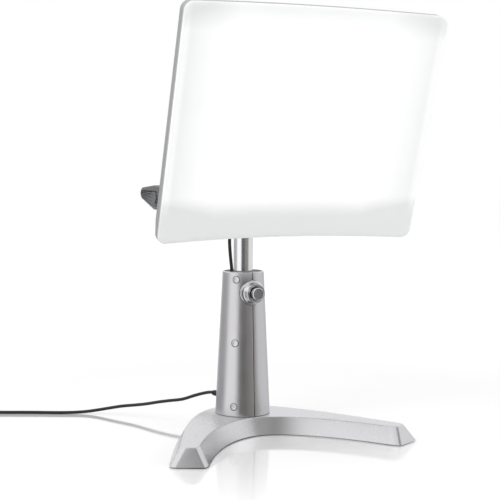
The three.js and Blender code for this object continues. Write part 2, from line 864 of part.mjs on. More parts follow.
function yokeBar() {
  const armBack = -pivotAhead + armBackReach;
  const armMiddle = armInside + armThickness / 2;
  const curve = new THREE.CubicBezierCurve(
    new THREE.Vector2(armMiddle, armBack),
    new THREE.Vector2(armMiddle, armBack * (1 - crossSideShare)),
    new THREE.Vector2(armMiddle * crossHubShare, 0),
    new THREE.Vector2(0, 0),
  );
  const outside = [[armMiddle + armThickness / 2, -pivotAhead]];
  const inside = [[armMiddle - armThickness / 2, -pivotAhead]];
  for (let i = 0; i < yokeSteps; i += 1) {
    const share = i / yokeSteps;
    const point = curve.getPoint(share);
    const way = curve.getTangent(share);
    const half = (armThickness + (crossThickness - armThickness) * share) / 2;
    outside.push([point.x + way.y * half, point.y - way.x * half]);
    inside.push([point.x - way.y * half, point.y + way.x * half]);
  }
  const rightHalf = [...outside, [0, crossThickness / 2]];
  const innerHalf = [[0, -crossThickness / 2], ...inside.reverse()];
  const outerLeft = [...rightHalf].reverse().slice(1).map(([x, y]) => [-x, y]);
  const innerLeft = [...innerHalf].reverse().slice(0, -1).map(([x, y]) => [-x, y]);
  return [...rightHalf, ...outerLeft, ...innerLeft, ...innerHalf];
}

function makeYoke() {
  const bar = extruded(yokeBar(), barHeight, right, back, place(0, 0, pivotHeight - barHeight / 2));
  const ends = [-1, 1].map((side) => rod(armHeight / 2, armThickness,
    place(side * armInside, -pivotAhead, pivotHeight), side > 0 ? right : left, roundSegments));
  const hub = rod(hubRadius, poleTop + clearance + hubRoof - hubFoot, place(0, 0, hubFoot), up, fineSegments);
  const glandLug = rod(glandRadius + crossThickness / 3, armHeight / 2,
    place(-leadTopSide, leadBack, hubFoot), up, roundSegments);
  const bore = rod(poleRadius + clearance, poleTop + clearance - hubFoot + overrun,
    place(0, 0, hubFoot - overrun), up, fineSegments);
  const boltHole = rod(boltRadius + clearance, 2 * (armInside + armThickness + overrun),
    place(-armInside - armThickness - overrun, -pivotAhead, pivotHeight), right, smallSegments);
  const setScrewHole = rod(setScrewRadius + clearance, hubRadius + overrun,
    place(0, 0, pivotHeight), back, smallSegments);
  return cut(join(bar, ...ends, hub, glandLug), bore, boltHole, setScrewHole);
}

const makeSetScrew = () => rod(setScrewRadius, setScrewLength,
  place(0, poleRadius + 2 * clearance, pivotHeight), back, smallSegments);

const makeGland = () => turned([
  [0, glandFoot],
  [glandRadius * 0.7, glandFoot],
  [glandRadius, glandFoot + glandLength / 2],
  [glandRadius, hubFoot - clearance],
  [0, hubFoot - clearance],
], place(-leadTopSide, leadBack, 0), up, roundSegments);

const makeLead = () => tube([
  place(-leadSide, leadBack, leadEnd),
  place(-leadSide, leadBack, (leadEnd + columnTop) / 2),
  place(-leadSide, leadBack, columnTop),
  place(-leadSide - leadLean / 2, leadBack, (columnTop + leadLeanEnd) / 2),
  place(-leadTopSide, leadBack, leadLeanEnd),
  place(-leadTopSide, leadBack, (leadLeanEnd + glandFoot) / 2),
  place(-leadTopSide, leadBack, glandFoot - clearance),
], leadRadius, leadSides, leadSteps);

// Panel: outlines are rounded rectangles bowed about the panel's upright middle line
const bowAt = (x) => bowDepth * (1 - (x / (panelWidth / 2)) ** 2);

// One outline: stations from left to right, the lower edge forwards and the upper edge back
function panelRing({ halfWidth, top, bottom, corner, depth, bow = 1 }) {
  const stations = [];
  for (let i = 0; i <= cornerSteps; i += 1) {
    const angle = ((i / cornerSteps) * Math.PI) / 2;
    stations.push([-halfWidth + corner * (1 - Math.cos(angle)), corner * (1 - Math.sin(angle))]);
  }
  const straight = halfWidth - corner;
  for (let i = 1; i < sideSteps; i += 1) stations.push([straight * ((2 * i) / sideSteps - 1), 0]);
  for (let i = cornerSteps; i >= 0; i -= 1) stations.push([-stations[i][0], stations[i][1]]);
  const point = (x, z) => place(x, depth + bow * bowAt(x), z);
  const lower = stations.map(([x, inset]) => point(x, bottom + inset));
  const upper = stations.map(([x, inset]) => point(x, top - inset)).reverse();
  return [...lower, ...upper];
}

// Strips between the lower and upper edge, so that a bowed end keeps its bow
function stripCap(count) {
  const cap = [];
  for (let i = 0; i < count / 2 - 1; i += 1) {
    const above = count - 1 - i;
    cap.push([i, i + 1, above - 1], [i, above - 1, above]);
  }
  return cap;
}

function panelSlab(layers) {
  const rings = layers.map(panelRing);
  return loft(rings, stripCap(rings[0].length));
}

const halfWidth = panelWidth / 2;
const halfHeight = panelHeight / 2;
const panelLayer = (depth, inset, raise = 0) => ({
  halfWidth: halfWidth - inset,
  top: halfHeight - inset,
  bottom: -halfHeight + inset + raise,
  corner: panelCorner - inset,
  depth,
});
const bulgeLayer = (depth, inset, bow) => ({
  halfWidth: bulgeHalfWidth - inset,
  top: bulgeTop - inset,
  bottom: bulgeBottom + inset,
  corner: bulgeCorner,
  depth,
  bow,
});
const bulgeTop = halfHeight - bulgeTopInset;
const bulgeBottom = bulgeBottomInset - halfHeight;
const pivotRise = bulgeBottom + pivotAboveBulgeFoot;
const ventLevels = [bulgeTop - ventFromEdge, bulgeBottom + ventFromEdge];
const switchSide = bulgeHalfWidth - switchFromSide;
const switchUp = bulgeBottom + switchFromFoot;
const rimInside = panelDepth - housingWall;
const rearInside = bulgeDepth - housingWall;
const pivotDepth = bulgeDepth - pivotFromBack;
const trayFloor = rearInside - trayBehind;
const lampDepth = trayFloor - lampBehind;
const coverScrewSide = halfWidth - coverScrewIn;
const coverScrewRise = halfHeight - coverScrewFromEdge;
const coverScrewPlaces = [
  [-coverScrewSide, coverScrewRise],
  [coverScrewSide, coverScrewRise],
  [-coverScrewSide, -coverScrewRise],
  [coverScrewSide, -coverScrewRise],
];
const ballastFoot = bulgeBottom + housingWall + bulgeEdge + clearance;
const trayHalfWidth = bulgeHalfWidth - housingWall - traySideRoom;
const trayTop = bulgeTop - housingWall - trayTopRoom;
const trayBottom = ballastFoot + ballastHeight + trayKneeOut + trayBallastRoom;
const trayMouthHalfWidth = coverScrewSide - coverPost - trayMouthRoom;
const trayMouthTop = halfHeight - coverRim - trayMouthRoom;
const trayMouthBottom = trayBottom - trayMouthDrop;
const rimBow = bowAt(coverScrewSide);
const screwSeatDepth = rimInside + rimBow + housingWall / 2;
const coverPostFoot = coverFace / 2 + bowAt(coverScrewSide + coverPost);
const coverThreadStart = coverPostFoot + coverFace;

function makeCover() {
  const outside = panelSlab([
    panelLayer(0, coverEdge),
    panelLayer(coverEdge, 0),
    panelLayer(coverDepth, 0),
  ]);
  const inside = panelSlab([
    panelLayer(coverFace, coverRim),
    panelLayer(coverDepth + overrun, coverRim),
  ]);
  const postTopDepth = rimInside + bowAt(coverScrewSide + coverPost) - clearance;
  const posts = coverScrewPlaces.map(([x, z]) =>
    rod(coverPost, postTopDepth - coverPostFoot, place(x, coverPostFoot, z), back, smallSegments));
  const threads = coverScrewPlaces.map(([x, z]) =>
    rod(coverScrewShaft + clearance, panelDepth, place(x, coverThreadStart, z), back, smallSegments));
  return cut(join(cut(outside, inside), ...posts), ...threads);
}

function makeHousing() {
  const start = coverDepth + clearance;
  const taperStart = panelDepth - lowerTaperDepth;
  const rearStart = panelDepth - rearEdge;
  const halfRaise = lowerTaper * (1 - rearEdge / lowerTaperDepth);
  const rim = panelSlab([
    panelLayer(start, housingInset),
    panelLayer(taperStart, housingInset),
    panelLayer(rearStart, housingInset, halfRaise),
    panelLayer(panelDepth, housingInset + rearEdge, lowerTaper - rearEdge),
  ]);
  const inset = housingInset + housingWall;
  const rimHollow = panelSlab([
    panelLayer(start - overrun, inset),
    panelLayer(taperStart - housingWall, inset),
    panelLayer(rearStart - housingWall, inset, halfRaise),
    panelLayer(rimInside, inset + rearEdge, lowerTaper - rearEdge),
  ]);
  const bulge = panelSlab([
    bulgeLayer(rimInside, 0, 1),
    bulgeLayer(bulgeDepth - bulgeEdge, 0, 0),
    bulgeLayer(bulgeDepth, bulgeEdge, 0),
  ]);
  const bulgeHollow = panelSlab([
    bulgeLayer(rimInside - overrun, housingWall, 1),
    bulgeLayer(rearInside - bulgeEdge, housingWall, 0),
    bulgeLayer(rearInside, housingWall + bulgeEdge, 0),
  ]);
  const posts = [-1, 1].flatMap((side) => [-1, 1].map((level) =>
    rod(trayPostRadius, bulgeDepth - housingWall / 2 - trayFloor - clearance,
      place(side * trayPostSideShare * trayHalfWidth, trayFloor + clearance,
        level * trayPostUpShare * bulgeTop), back, smallSegments)));
  const vents = ventLevels.flatMap((level) => Array.from({ length: ventCount }, (_, i) => {
    const x = (i - (ventCount - 1) / 2) * ventPitch;
    return block(x - ventWidth / 2, x + ventWidth / 2, rearInside - overrun, bulgeDepth + overrun,
      level - ventHeight / 2, level + ventHeight / 2);
  }));
  const boltHole = rod(boltRadius + clearance, 2 * (bulgeHalfWidth + overrun),
    place(-bulgeHalfWidth - overrun, pivotDepth, pivotRise), right, smallSegments);
  const switchHole = block(
    switchSide - switchHalfWidth - switchWall - clearance,
    switchSide + switchHalfWidth + switchWall + clearance,
    rearInside - overrun,
    bulgeDepth + overrun,
    switchUp - switchHalfHeight - switchWall - clearance,
    switchUp + switchHalfHeight + switchWall + clearance,
  );
  const screwHoles = coverScrewPlaces.flatMap(([x, z]) => [
    rod(coverScrewShaft + clearance, panelDepth, place(x, rimInside - overrun, z), back, smallSegments),
    rod(coverScrewHead + clearance, panelDepth, place(x, screwSeatDepth, z), back, smallSegments),
  ]);
  const walls = cut(join(rim, bulge), rimHollow, bulgeHollow);
  return cut(join(walls, ...posts), boltHole, switchHole, ...vents, ...screwHoles);
}

const makeCoverScrew = ([x, z]) => {
  const head = screwSeatDepth + clearance;
  return turned([
    [0, coverThreadStart + clearance],
    [coverScrewShaft, coverThreadStart + clearance],
    [coverScrewShaft, head],
    [coverScrewHead, head],
    [coverScrewHead, head + coverScrewHeadHeight / 2],
    [coverScrewHead / 2, head + coverScrewHeadHeight],
    [0, head + coverScrewHeadHeight],
  ], place(x, 0, z), back, smallSegments);
};

// Reflector tray: a floor behind the lamps, steep sides and a flared mouth behind the cover
function trayLayer(depth, half, top, bottom, bow) {
  return { halfWidth: half, top, bottom, corner: trayCorner, depth, bow };
}

function makeTray() {
  const kneeDepth = rimInside - clearance;
  const floor = trayLayer(trayFloor, trayHalfWidth, trayTop, trayBottom, 0);
  const knee = trayLayer(kneeDepth, trayHalfWidth + trayKneeOut, trayTop + trayKneeOut,
    trayBottom - trayKneeOut, 1);
  const mouth = trayLayer(trayMouthDepth, trayMouthHalfWidth, trayMouthTop, trayMouthBottom, 1);
  const inside = ({ halfWidth: half, top, bottom, corner, depth, bow }) => trayLayer(
    depth - traySheet, half - traySheet, top - traySheet, bottom + traySheet, bow);
  const innerMouth = inside(mouth);
  const beyond = { ...innerMouth, depth: innerMouth.depth - overrun };
  const outer = panelSlab([mouth, knee, floor]);
  const inner = panelSlab([beyond, innerMouth, inside(knee), inside(floor)]);
  return cut(outer, inner);
}

// A lamp: two tubes side by side, bridged near their far end, in one base
const lampStart = -trayHalfWidth + 2 * traySheet + clearance + holderLength;
const lampLength = trayHalfWidth - 2 * traySheet - lampEndRoom - lampStart;
const lampHeights = [-1, 0, 1].map((row) =>
  (trayTop + trayBottom) / 2 + row * lampPitchShare * (trayTop - trayBottom));

function makeLamp(height) {
  const tubeStart = lampStart + lampBaseLength / 2;
  const tubeEnd = lampStart + lampLength;
  const tubes = [-1, 1].map((side) => turned([
    [0, 0],
    [lampTube, 0],
    [lampTube, tubeEnd - tubeStart - lampTube],
    [lampTube * Math.cos(degrees(45)), tubeEnd - tubeStart - lampTube * (1 - Math.sin(degrees(45)))],
    [0, tubeEnd - tubeStart],
  ], place(tubeStart, lampDepth, height + (side * lampTubeApart) / 2), right, smallSegments));
  const bridge = rod(lampBridge, lampTubeApart, place(tubeEnd - 2 * lampTube, lampDepth,
    height - lampTubeApart / 2), up, smallSegments);
  const foot = block(lampStart, lampStart + lampBaseLength, lampDepth - lampBaseDepth / 2,
    lampDepth + lampBaseDepth / 2, height - lampBaseHeight / 2, height + lampBaseHeight / 2);
  return join(foot, bridge, ...tubes);
}

const makeLampHolder = (height) => block(lampStart - clearance - holderLength, lampStart - clearance,
  lampDepth - lampBaseDepth / 2, trayFloor - traySheet - clearance,
  height - holderHeight / 2, height + holderHeight / 2);

const ballastHalfLength = bulgeHalfWidth - ballastSideRoom;

const makeBallast = () => block(-ballastHalfLength, ballastHalfLength,
  rearInside - clearance - ballastDepth, rearInside - clearance,
  ballastFoot, ballastFoot + ballastHeight);

// Pivot: a bolt through the housing's side, a friction washer, the yoke's arm and the lever
const armOutside = armInside + armThickness;
const leverInside = armOutside + clearance;
const boltEnd = leverInside + leverWidth - leverCapProud - clearance;

function makeBolt(side) {
  const start = bulgeHalfWidth - housingWall - clearance - boltHeadThickness;
  return turned([
    [0, 0],
    [boltHeadRadius, 0],
    [boltHeadRadius, boltHeadThickness],
    [boltRadius, boltHeadThickness],
    [boltRadius, boltEnd - start],
    [0, boltEnd - start],
  ], place(side * start, pivotDepth, pivotRise), side > 0 ? right : left, smallSegments);
}

const makeWasher = (side) => sleeve(washerRadius, boltRadius + clearance,
  armInside - bulgeHalfWidth - 2 * clearance,
  place(side * (bulgeHalfWidth + clearance), pivotDepth, pivotRise),
  side > 0 ? right : left, roundSegments);

// Clamp lever, drawn about the pivot: a round hub and a wing that narrows to its tip
function makeLever(side) {
  const tipBackward = leverReach - leverTipRadius;
  const swing = THREE.MathUtils.radToDeg(Math.atan2(leverRise, tipBackward));
  const spread = THREE.MathUtils.radToDeg(
    Math.acos((leverHubRadius - leverTipRadius) / Math.hypot(tipBackward, leverRise)),
  );
  const outline = [
    ...arc(tipBackward, leverRise, leverTipRadius, swing - spread, swing + spread, smallSegments / 2),
    ...arc(0, 0, leverHubRadius, swing + spread, swing - spread + 360, roundSegments),
  ];
  const width = leverWidth - leverCapProud;
  const from = side > 0 ? leverInside : -leverInside - width;
  const body = extruded(outline, width, back, up, place(from, 0, 0));
  const plan = [
    [side * (leverInside - overrun), -leverHubRadius - overrun],
    [side * (leverInside + width + overrun), -leverHubRadius - overrun],
    [side * (leverInside + width + overrun), 0],
    [side * (leverInside + width), leverHubRadius / 2],
    [side * (leverInside + leverTipWidth), leverReach],
    [side * (leverInside + leverTipWidth), leverReach + overrun],
    [side * (leverInside - overrun), leverReach + overrun],
  ];
  const taper = extruded(plan, 4 * leverHubRadius, right, back, place(0, 0, -2 * leverHubRadius));
  const button = rod(leverCapRadius, leverCapProud + overrun,
    place(side * (leverInside + width - overrun), 0, 0), side > 0 ? right : left, roundSegments);
  const hole = rod(boltRadius + clearance, boltEnd + clearance - leverInside + overrun,
    place(side * (leverInside - overrun), 0, 0), side > 0 ? right : left, smallSegments);
  return cut(join(body.intersect(taper), button), hole);
}

// Switch: a frame through the housing's back and a rocker in it
function makeSwitchFrame() {
  const outerWidth = switchHalfWidth + switchWall;
  const outerHeight = switchHalfHeight + switchWall;
  const bezelFoot = bulgeDepth + clearance;
  const floorDepth = bulgeDepth - switchBody;
  const bezel = block(switchSide - outerWidth - switchBezel, switchSide + outerWidth + switchBezel,
    bezelFoot, bezelFoot + switchBezelProud,
    switchUp - outerHeight - switchBezel, switchUp + outerHeight + switchBezel);
  const body = block(switchSide - outerWidth, switchSide + outerWidth, floorDepth,
    bezelFoot + switchBezelProud, switchUp - outerHeight, switchUp + outerHeight);
  const opening = block(switchSide - switchHalfWidth, switchSide + switchHalfWidth,
    floorDepth + switchFloor, bulgeDepth + switchBody,
    switchUp - switchHalfHeight, switchUp + switchHalfHeight);
  return cut(join(bezel, body), opening);
}

// The rocker is drawn about its axis, level: its face is lowest in the middle
function makeRocker() {
  const middle = rockerAxisDepth + rockerProud;
  const outline = [
    [-rockerFoot, -rockerFootHalfHeight],
    [rockerSkirt, -rockerHalfHeight],
    [middle + rockerRise, -rockerHalfHeight],
    [middle, 0],
    [middle + rockerRise, rockerHalfHeight],
    [rockerSkirt, rockerHalfHeight],
    [-rockerFoot, rockerFootHalfHeight],
  ];
  const half = switchHalfWidth - clearance;
  return extruded(outline, 2 * half, back, up, place(-half, 0, 0));
}

// Power cord: a free stretch to the coil's start, then the coil, then the plug
const heading = degrees(coilHeading);
const coilWay = along(Math.cos(heading), Math.sin(heading), 0);
const coilMouth = place(coilStart[0], coilStart[1], cordRadius);

function makeCord() {
  const start = reliefWay.clone().multiplyScalar(reliefTip + clearance).setZ(reliefHeight);
  const points = [
    start,
    start.clone().addScaledVector(reliefWay, 2 * cordRadius),
    ...cordRoute.map(([x, y, z]) => place(x, y, z)),
    coilMouth.clone().addScaledVector(coilWay, -2 * cordRadius),
    coilMouth,
  ];
  return tube(points, cordRadius, cordSides, cordStepsPerRun * (points.length - 1));
}

// The coil winds inwards on the floor, turns back a layer higher and winds outwards again
function coilPoints() {
  const begin = coilMouth.clone().addScaledVector(coilWay, clearance);
  const windStart = begin.clone().addScaledVector(coilWay, 2 * cordRadius);
  const centreWay = place(-coilWay.y, coilWay.x, 0);
  const centre = windStart.clone().addScaledVector(centreWay, coilRadius);
  const points = [begin, begin.clone().lerp(windStart, 1 / 2)];
  const innerRadius = coilRadius - coilPitch * coilTurnsIn;
  const turns = coilTurnsIn + coilTurnsBack + coilTurnsOut;
  const startAngle = heading - Math.PI / 2;
  for (let i = 0; i <= Math.round(turns * coilSteps); i += 1) {
    const turn = i / coilSteps;
    const back = THREE.MathUtils.clamp((turn - coilTurnsIn) / coilTurnsBack, 0, 1);
    const dip = (coilPitch / (2 * Math.PI)) * Math.sin(Math.PI * back);
    const outTurn = Math.max(turn - coilTurnsIn - coilTurnsBack, 0);
    const inTurn = Math.min(turn, coilTurnsIn);
    const radius = (inTurn < coilTurnsIn ? coilRadius - coilPitch * inTurn : innerRadius)
      - dip + coilPitch * outTurn;
    const climb = coilPitch * THREE.MathUtils.smoothstep(back, 0, 1);
    const angle = startAngle + 2 * Math.PI * turn;
    points.push(place(
      centre.x + radius * Math.cos(angle),
      centre.y + radius * Math.sin(angle),
      cordRadius + climb,
    ));
  }
  const last = points[points.length - 1];
  const tailAngle = heading + 2 * Math.PI * turns;
  const tailWay = along(Math.cos(tailAngle), Math.sin(tailAngle), 0);
  const tailSteps = Math.ceil(coilTail / (4 * cordRadius));
  for (let i = 1; i <= tailSteps; i += 1) {
    points.push(last.clone().addScaledVector(tailWay, (coilTail * i) / tailSteps));
  }
  return { points, tailWay, tailAngle };
}

// The least room between stretches of the coil that aren't neighbours along it
function leastGap(points, radius, apart) {
  let least = Infinity;
  const lengths = [0];
  points.slice(1).forEach((point, i) => lengths.push(lengths[i] + point.distanceTo(points[i])));
  points.forEach((point, i) => {
    for (let j = i + 1; j < points.length; j += 1) {
      if (lengths[j] - lengths[i] > apart) least = Math.min(least, point.distanceTo(points[j]));
    }
  });
  return least - 2 * radius;
}

const coil = coilPoints();
const coilCurve = new THREE.CatmullRomCurve3(coil.points, false, 'centripetal');
const coilTubeSteps = coil.points.length - 1;
const coilGap = leastGap(coilCurve.getSpacedPoints(4 * coilTubeSteps), cordRadius, 6 * coilPitch);
const coilLength = coilCurve.getLength();
console.log(`coil: least gap to itself ${coilGap.toFixed(2)} mm, length ${coilLength.toFixed(0)} mm`);

// Plug, drawn along its own X axis from the cord's end
function plugRing(x, halfAcross, halfHigh, corner) {
  const points = [];
  const middles = [[1, 1, 0], [-1, 1, 90], [-1, -1, 180], [1, -1, 270]];
  middles.forEach(([side, level, from]) => {
    arc(side * (halfAcross - corner), level * (halfHigh - corner), corner, from, from + 90, 3)
      .forEach(([y, z]) => points.push(place(x, y, z)));
  });
  return points;
}

const plugBodyStart = plugNeckLength + plugShoulder;
const plugEnd = plugBodyStart + plugLength;
const bladeSides = [-bladeApart / 2, bladeApart / 2];
const bladeBlock = (y, room) => block(plugEnd - bladeRoot - room, plugEnd + bladeLength + 2 * room,
  y - bladeThickness / 2 - room, y + bladeThickness / 2 + room,
  -bladeWidth / 2 - room, bladeWidth / 2 + room);

function makePlug() {
  const rings = [
    plugRing(0, plugNeckRadius, plugNeckRadius, plugNeckRadius - clearance),
    plugRing(plugNeckLength, plugNeckRadius, plugNeckRadius, plugNeckRadius - clearance),
    plugRing(plugBodyStart, plugHalfWidth - plugFaceInset, plugHalfThickness, plugCorner),
    plugRing(plugEnd - plugFaceInset, plugHalfWidth, plugHalfThickness, plugCorner),
    plugRing(plugEnd, plugHalfWidth - plugFaceInset, plugHalfThickness - plugFaceInset, plugCorner),
  ];
  const body = loft(rings, fanCap(rings[0].length));
  return cut(body, ...bladeSides.map((y) => bladeBlock(y, clearance)));
}

// Putting it together
addPiece(part, 'base_casting', makeBase(), basePaint);
addPiece(part, 'base_plate', makeBasePlate(), steel);
footPlaces.forEach((foot, i) => addPiece(part, `base_foot_${i + 1}`, makeFoot(foot), blackRubber));
screwPlaces.forEach((spot, i) => addPiece(part, `base_plate_screw_${i + 1}`, makePlateScrew(spot), steel));
const [shellLeft, shellRight] = makeShells();
addPiece(part, 'column_shell_left', shellLeft, silverPaint);
addPiece(part, 'column_shell_right', shellRight, silverPaint);
addPiece(part, 'column_guide_tube', makeGuideTube(), steel);
addPiece(part, 'column_guide_sleeve', makeGuideSleeve(), blackPlastic);
addPiece(part, 'column_top_bush', makeTopBush(), darkPlastic);
shellScrews.forEach((screw, i) => {
  addPiece(part, `column_screw_${i + 1}`, makeShellScrew(screw), steel);
  addPiece(part, `column_screw_cap_${i + 1}`, makeScrewCap(screw), silverPaint);
});
addPiece(part, 'lock_collar', makeCollar(), greyPlastic);
addPiece(part, 'lock_spring', makeLockSpring(), steel);
addPiece(part, 'lock_button', makeButton(), greyPlastic);
addPiece(part, 'lock_slider', makeSlider(), steel);
addPiece(part, 'strain_relief', makeStrainRelief(), blackRubber);
addPiece(part, 'power_cord', makeCord(), blackRubber);
addPiece(part, 'power_cord_coil', tubeOn(coilCurve, cordRadius, coilSides, coilTubeSteps), blackRubber);

const plug = new THREE.Group();
plug.position.copy(coil.points[coil.points.length - 1]).addScaledVector(coil.tailWay, clearance);
plug.rotation.z = coil.tailAngle;
part.add(plug);
addPiece(plug, 'plug_body', makePlug(), blackPlastic);
bladeSides.forEach((y, i) =>
  addPiece(plug, `plug_blade_${i + 1}`, bladeBlock(y, 0), brass));

addPiece(pole, 'pole_tube', makePole(), chrome);
addPiece(pole, 'pole_foot_bush', makePoleFoot(), blackPlastic);
addPiece(pole, 'tilt_yoke', makeYoke(), darkPlastic);
addPiece(pole, 'yoke_set_screw', makeSetScrew(), steel);
addPiece(pole, 'lead_cable', makeLead(), blackRubber);
addPiece(pole, 'lead_gland', makeGland(), blackPlastic);

const pivot = place(0, -pivotAhead, pivotHeight);
head.position.copy(pivot).sub(place(0, pivotDepth, pivotRise).applyEuler(head.rotation));
addPiece(head, 'front_cover', makeCover(), opal);
addPiece(head, 'rear_housing', makeHousing(), greyPlastic);
addPiece(head, 'reflector_tray', makeTray(), white);
lampHeights.forEach((height, i) => {
  addPiece(head, `lamp_${i + 1}`, makeLamp(height), glass);
  addPiece(head, `lamp_holder_${i + 1}`, makeLampHolder(height), white);
});
addPiece(head, 'ballast', makeBallast(), steel);
coverScrewPlaces.forEach((spot, i) => addPiece(head, `cover_screw_${i + 1}`, makeCoverScrew(spot), steel));
[['left', -1], ['right', 1]].forEach(([name, side]) => {
  addPiece(head, `pivot_bolt_${name}`, makeBolt(side), steel);
  addPiece(head, `friction_washer_${name}`, makeWasher(side), blackPlastic);
  const lever = new THREE.Group();
  lever.position.copy(pivot);
  pole.add(lever);
  addPiece(lever, `tilt_lever_${name}`, makeLever(side), darkPlastic);
});
addPiece(head, 'switch_frame', makeSwitchFrame(), blackPlastic);
const rocker = new THREE.Group();
rocker.position.set(switchSide, bulgeDepth + clearance + switchBezelProud - rockerAxisDepth, switchUp);
rocker.rotation.x = degrees(-switchTilt);
head.add(rocker);
addPiece(rocker, 'switch_rocker', makeRocker(), blackPlastic);

export default part;
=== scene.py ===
# Light therapy lamp with a tilting, height-adjustable panel. Its front faces -Y. Sizes are
# millimetres and degrees, turned into metres where a mesh, curve or light is made.

import math

import bmesh
import bpy
from mathutils import Euler, Matrix, Vector


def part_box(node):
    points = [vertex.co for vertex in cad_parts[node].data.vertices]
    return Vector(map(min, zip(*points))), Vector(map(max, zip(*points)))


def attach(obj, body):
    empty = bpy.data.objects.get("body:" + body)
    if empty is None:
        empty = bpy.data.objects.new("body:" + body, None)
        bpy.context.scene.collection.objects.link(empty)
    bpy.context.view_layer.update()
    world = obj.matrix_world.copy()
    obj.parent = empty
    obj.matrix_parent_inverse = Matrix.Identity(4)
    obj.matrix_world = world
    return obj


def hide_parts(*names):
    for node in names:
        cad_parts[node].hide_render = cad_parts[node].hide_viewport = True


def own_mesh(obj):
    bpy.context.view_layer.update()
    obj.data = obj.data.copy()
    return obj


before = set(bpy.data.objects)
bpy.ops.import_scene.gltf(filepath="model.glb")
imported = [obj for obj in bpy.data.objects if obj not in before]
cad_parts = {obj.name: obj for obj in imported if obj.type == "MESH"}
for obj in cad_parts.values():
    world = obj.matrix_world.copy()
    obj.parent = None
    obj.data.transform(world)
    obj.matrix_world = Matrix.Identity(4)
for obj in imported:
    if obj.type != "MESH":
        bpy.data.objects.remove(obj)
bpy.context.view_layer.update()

MM = 0.001
CLEAR = 0.3
UP = Vector((0, 0, 1))
BACK = Vector((0, 1, 0))
FRONT = Vector((0, -1, 0))
RIGHT = Vector((1, 0, 0))
LEFT = Vector((-1, 0, 0))
ORIGIN = Vector((0, 0, 0))
WELD = 0.002
SHARP_ANGLE = 32
FILLET_SHARE = 0.45

# Camera
CAMERA_PLACE = Vector((-859.4, -1768.0, 433.0))
CAMERA_RIGHT = Vector((0.8972, -0.4415, 0.0056))
CAMERA_FORWARD = Vector((0.4406, 0.8944, -0.0775))
CAMERA_LENS = 91.6
CAMERA_SENSOR = 36
CAMERA_SIGHT = 60

# Base
BASE_TOP = 26.3
FOOT_PROUD = 1.5
BASE_FLARE = 13.5
BASE_BEVEL = 1.3
BASE_SOFT = 1.1
BASE_WALL = 4.5
PLATE_TOP = 4.5
BACK_REACH = 54
BACK_HANDLE = 65
INNER_REACH = 48.8
INNER_HANDLE = 55
OUTER_TIP = (184.8, -182.1)
OUTER_HANDLE = 150
OUTER_HEADING = 25.5
INNER_TIP = (159.9, -194.5)
INNER_HANDLE_TIP = 90
INNER_HEADING = 29.7
TIP_BEVEL = 6.2
TIP_WALL_REACH = 12
TIP_END_REACH = 3.8
TIP_SOFT = 3.4
TIP_STEPS = 5
TIP_SKIP = 4
CURVE_STEPS = 72

# Column
COLUMN_FOOT = 26.6
COLUMN_TOP = 248
COLUMN_FOOT_RADIUS = 42.6
COLUMN_MOUTH_RADIUS = 32.2
COLUMN_WALL = 3
MOUTH_BEVEL = 1.2
SEAM_GAP = 1.3
SEAM_ROUND = 0.5
# Depth of the black strip of painted shade behind the seam
SEAM_SHADE_STRIP_DEPTH = 1.3
COLUMN_STEPS = 72
CAP_TURN = 45
CAP_HEIGHTS = (41.8, 139.4, 237)
CAP_RADIUS = 5.2
CAP_DEPTH = 1.8
CAP_ROOM = 0.7
BUSH_TOP = 246.5
BUSH_FOOT = 231
BUSH_BODY = 26
BUSH_LIP = 3

# Pole and lead
POLE_RADIUS = 14.9
POLE_WALL = 2
POLE_FOOT = 10.6
POLE_TOP = 380
RUNNING_GAP = 0.4
LEAD_RADIUS = 2.6
LEAD_BACK = 20
LEAD_SIDE = 9.3
LEAD_TOP_SIDE = 13
LEAD_PLACES = ((9.3, 60), (9.3, 154), (9.3, 224), (10.2, 248), (12.6, 270), (14.2, 291.9), (13.7, 311.4),
               (13, 330.6))
GLAND_FOOT = 330.9
GLAND_LENGTH = 9
GLAND_RADIUS = 5

# Height lock
LOCK_HEIGHT = 216.8
SPRING_RADIUS = 6.4
SPRING_WIRE = 1.1
SPRING_TURNS = 5
SPRING_STEPS = 32
SPRING_FLAT = 0.75
FLANGE_RADIUS = 19.3
FLANGE_FRONT = 35
FLANGE_BACK = 25.5
CONE_RADIUS = 14.6
CONE_FRONT = 44.5
RING_FRONT = 46.5
LOCK_BORE = 10.4
STEP_RADIUS = 11
SEAT_MARGIN = 0.35
SEAT_REACH = 60
STEM_RADIUS = 4
BUTTON_RADIUS = 9.4
BUTTON_FRONT = 54
BUTTON_BACK = 41

# Strain relief
RELIEF_HEIGHT = 47.5
RELIEF_TURN = 19.3
RELIEF_LENGTH = 24
RELIEF_RADIUS = 6.3
RELIEF_TIP = 3.9
RELIEF_COLLAR = 7.6
RELIEF_RINGS = 5
RELIEF_FLANGE = 1.6

# Yoke and pivot
PIVOT_AHEAD = 126.5
PIVOT_HEIGHT = 368.2
ARM_HEIGHT = 34
BAR_HEIGHT = 24
ARM_INSIDE = 178
ARM_THICKNESS = 8
ARM_BACK = -88.5
CROSS_THICKNESS = 9
CROSS_SIDE_HANDLE = 62
CROSS_HUB_HANDLE = 120
YOKE_STEPS = 48
HUB_RADIUS = 26
HUB_FOOT = 340.2
HUB_TOP = 386.3
WASHER_RADIUS = 15
BOLT_ROOM = 4.3
LEVER_INSIDE = 186.3
LEVER_WIDTH = 13
LEVER_CAP = 1.5
LEVER_CAP_RADIUS = 8
LEVER_HUB = 17
LEVER_BACK = 44.5
LEVER_RISE = 4.5
LEVER_TIP_RADIUS = 8.5
LEVER_TIP_WIDTH = 12.6
LEVER_RIBS = 5
LEVER_RIB_PROUD = 2.2
LEVER_LAND = 0.76
LEVER_GROOVE = 3
LEVER_END = LEVER_BACK + LEVER_TIP_RADIUS
LEVER_STATIONS = 56
LEVER_STEPS = 60

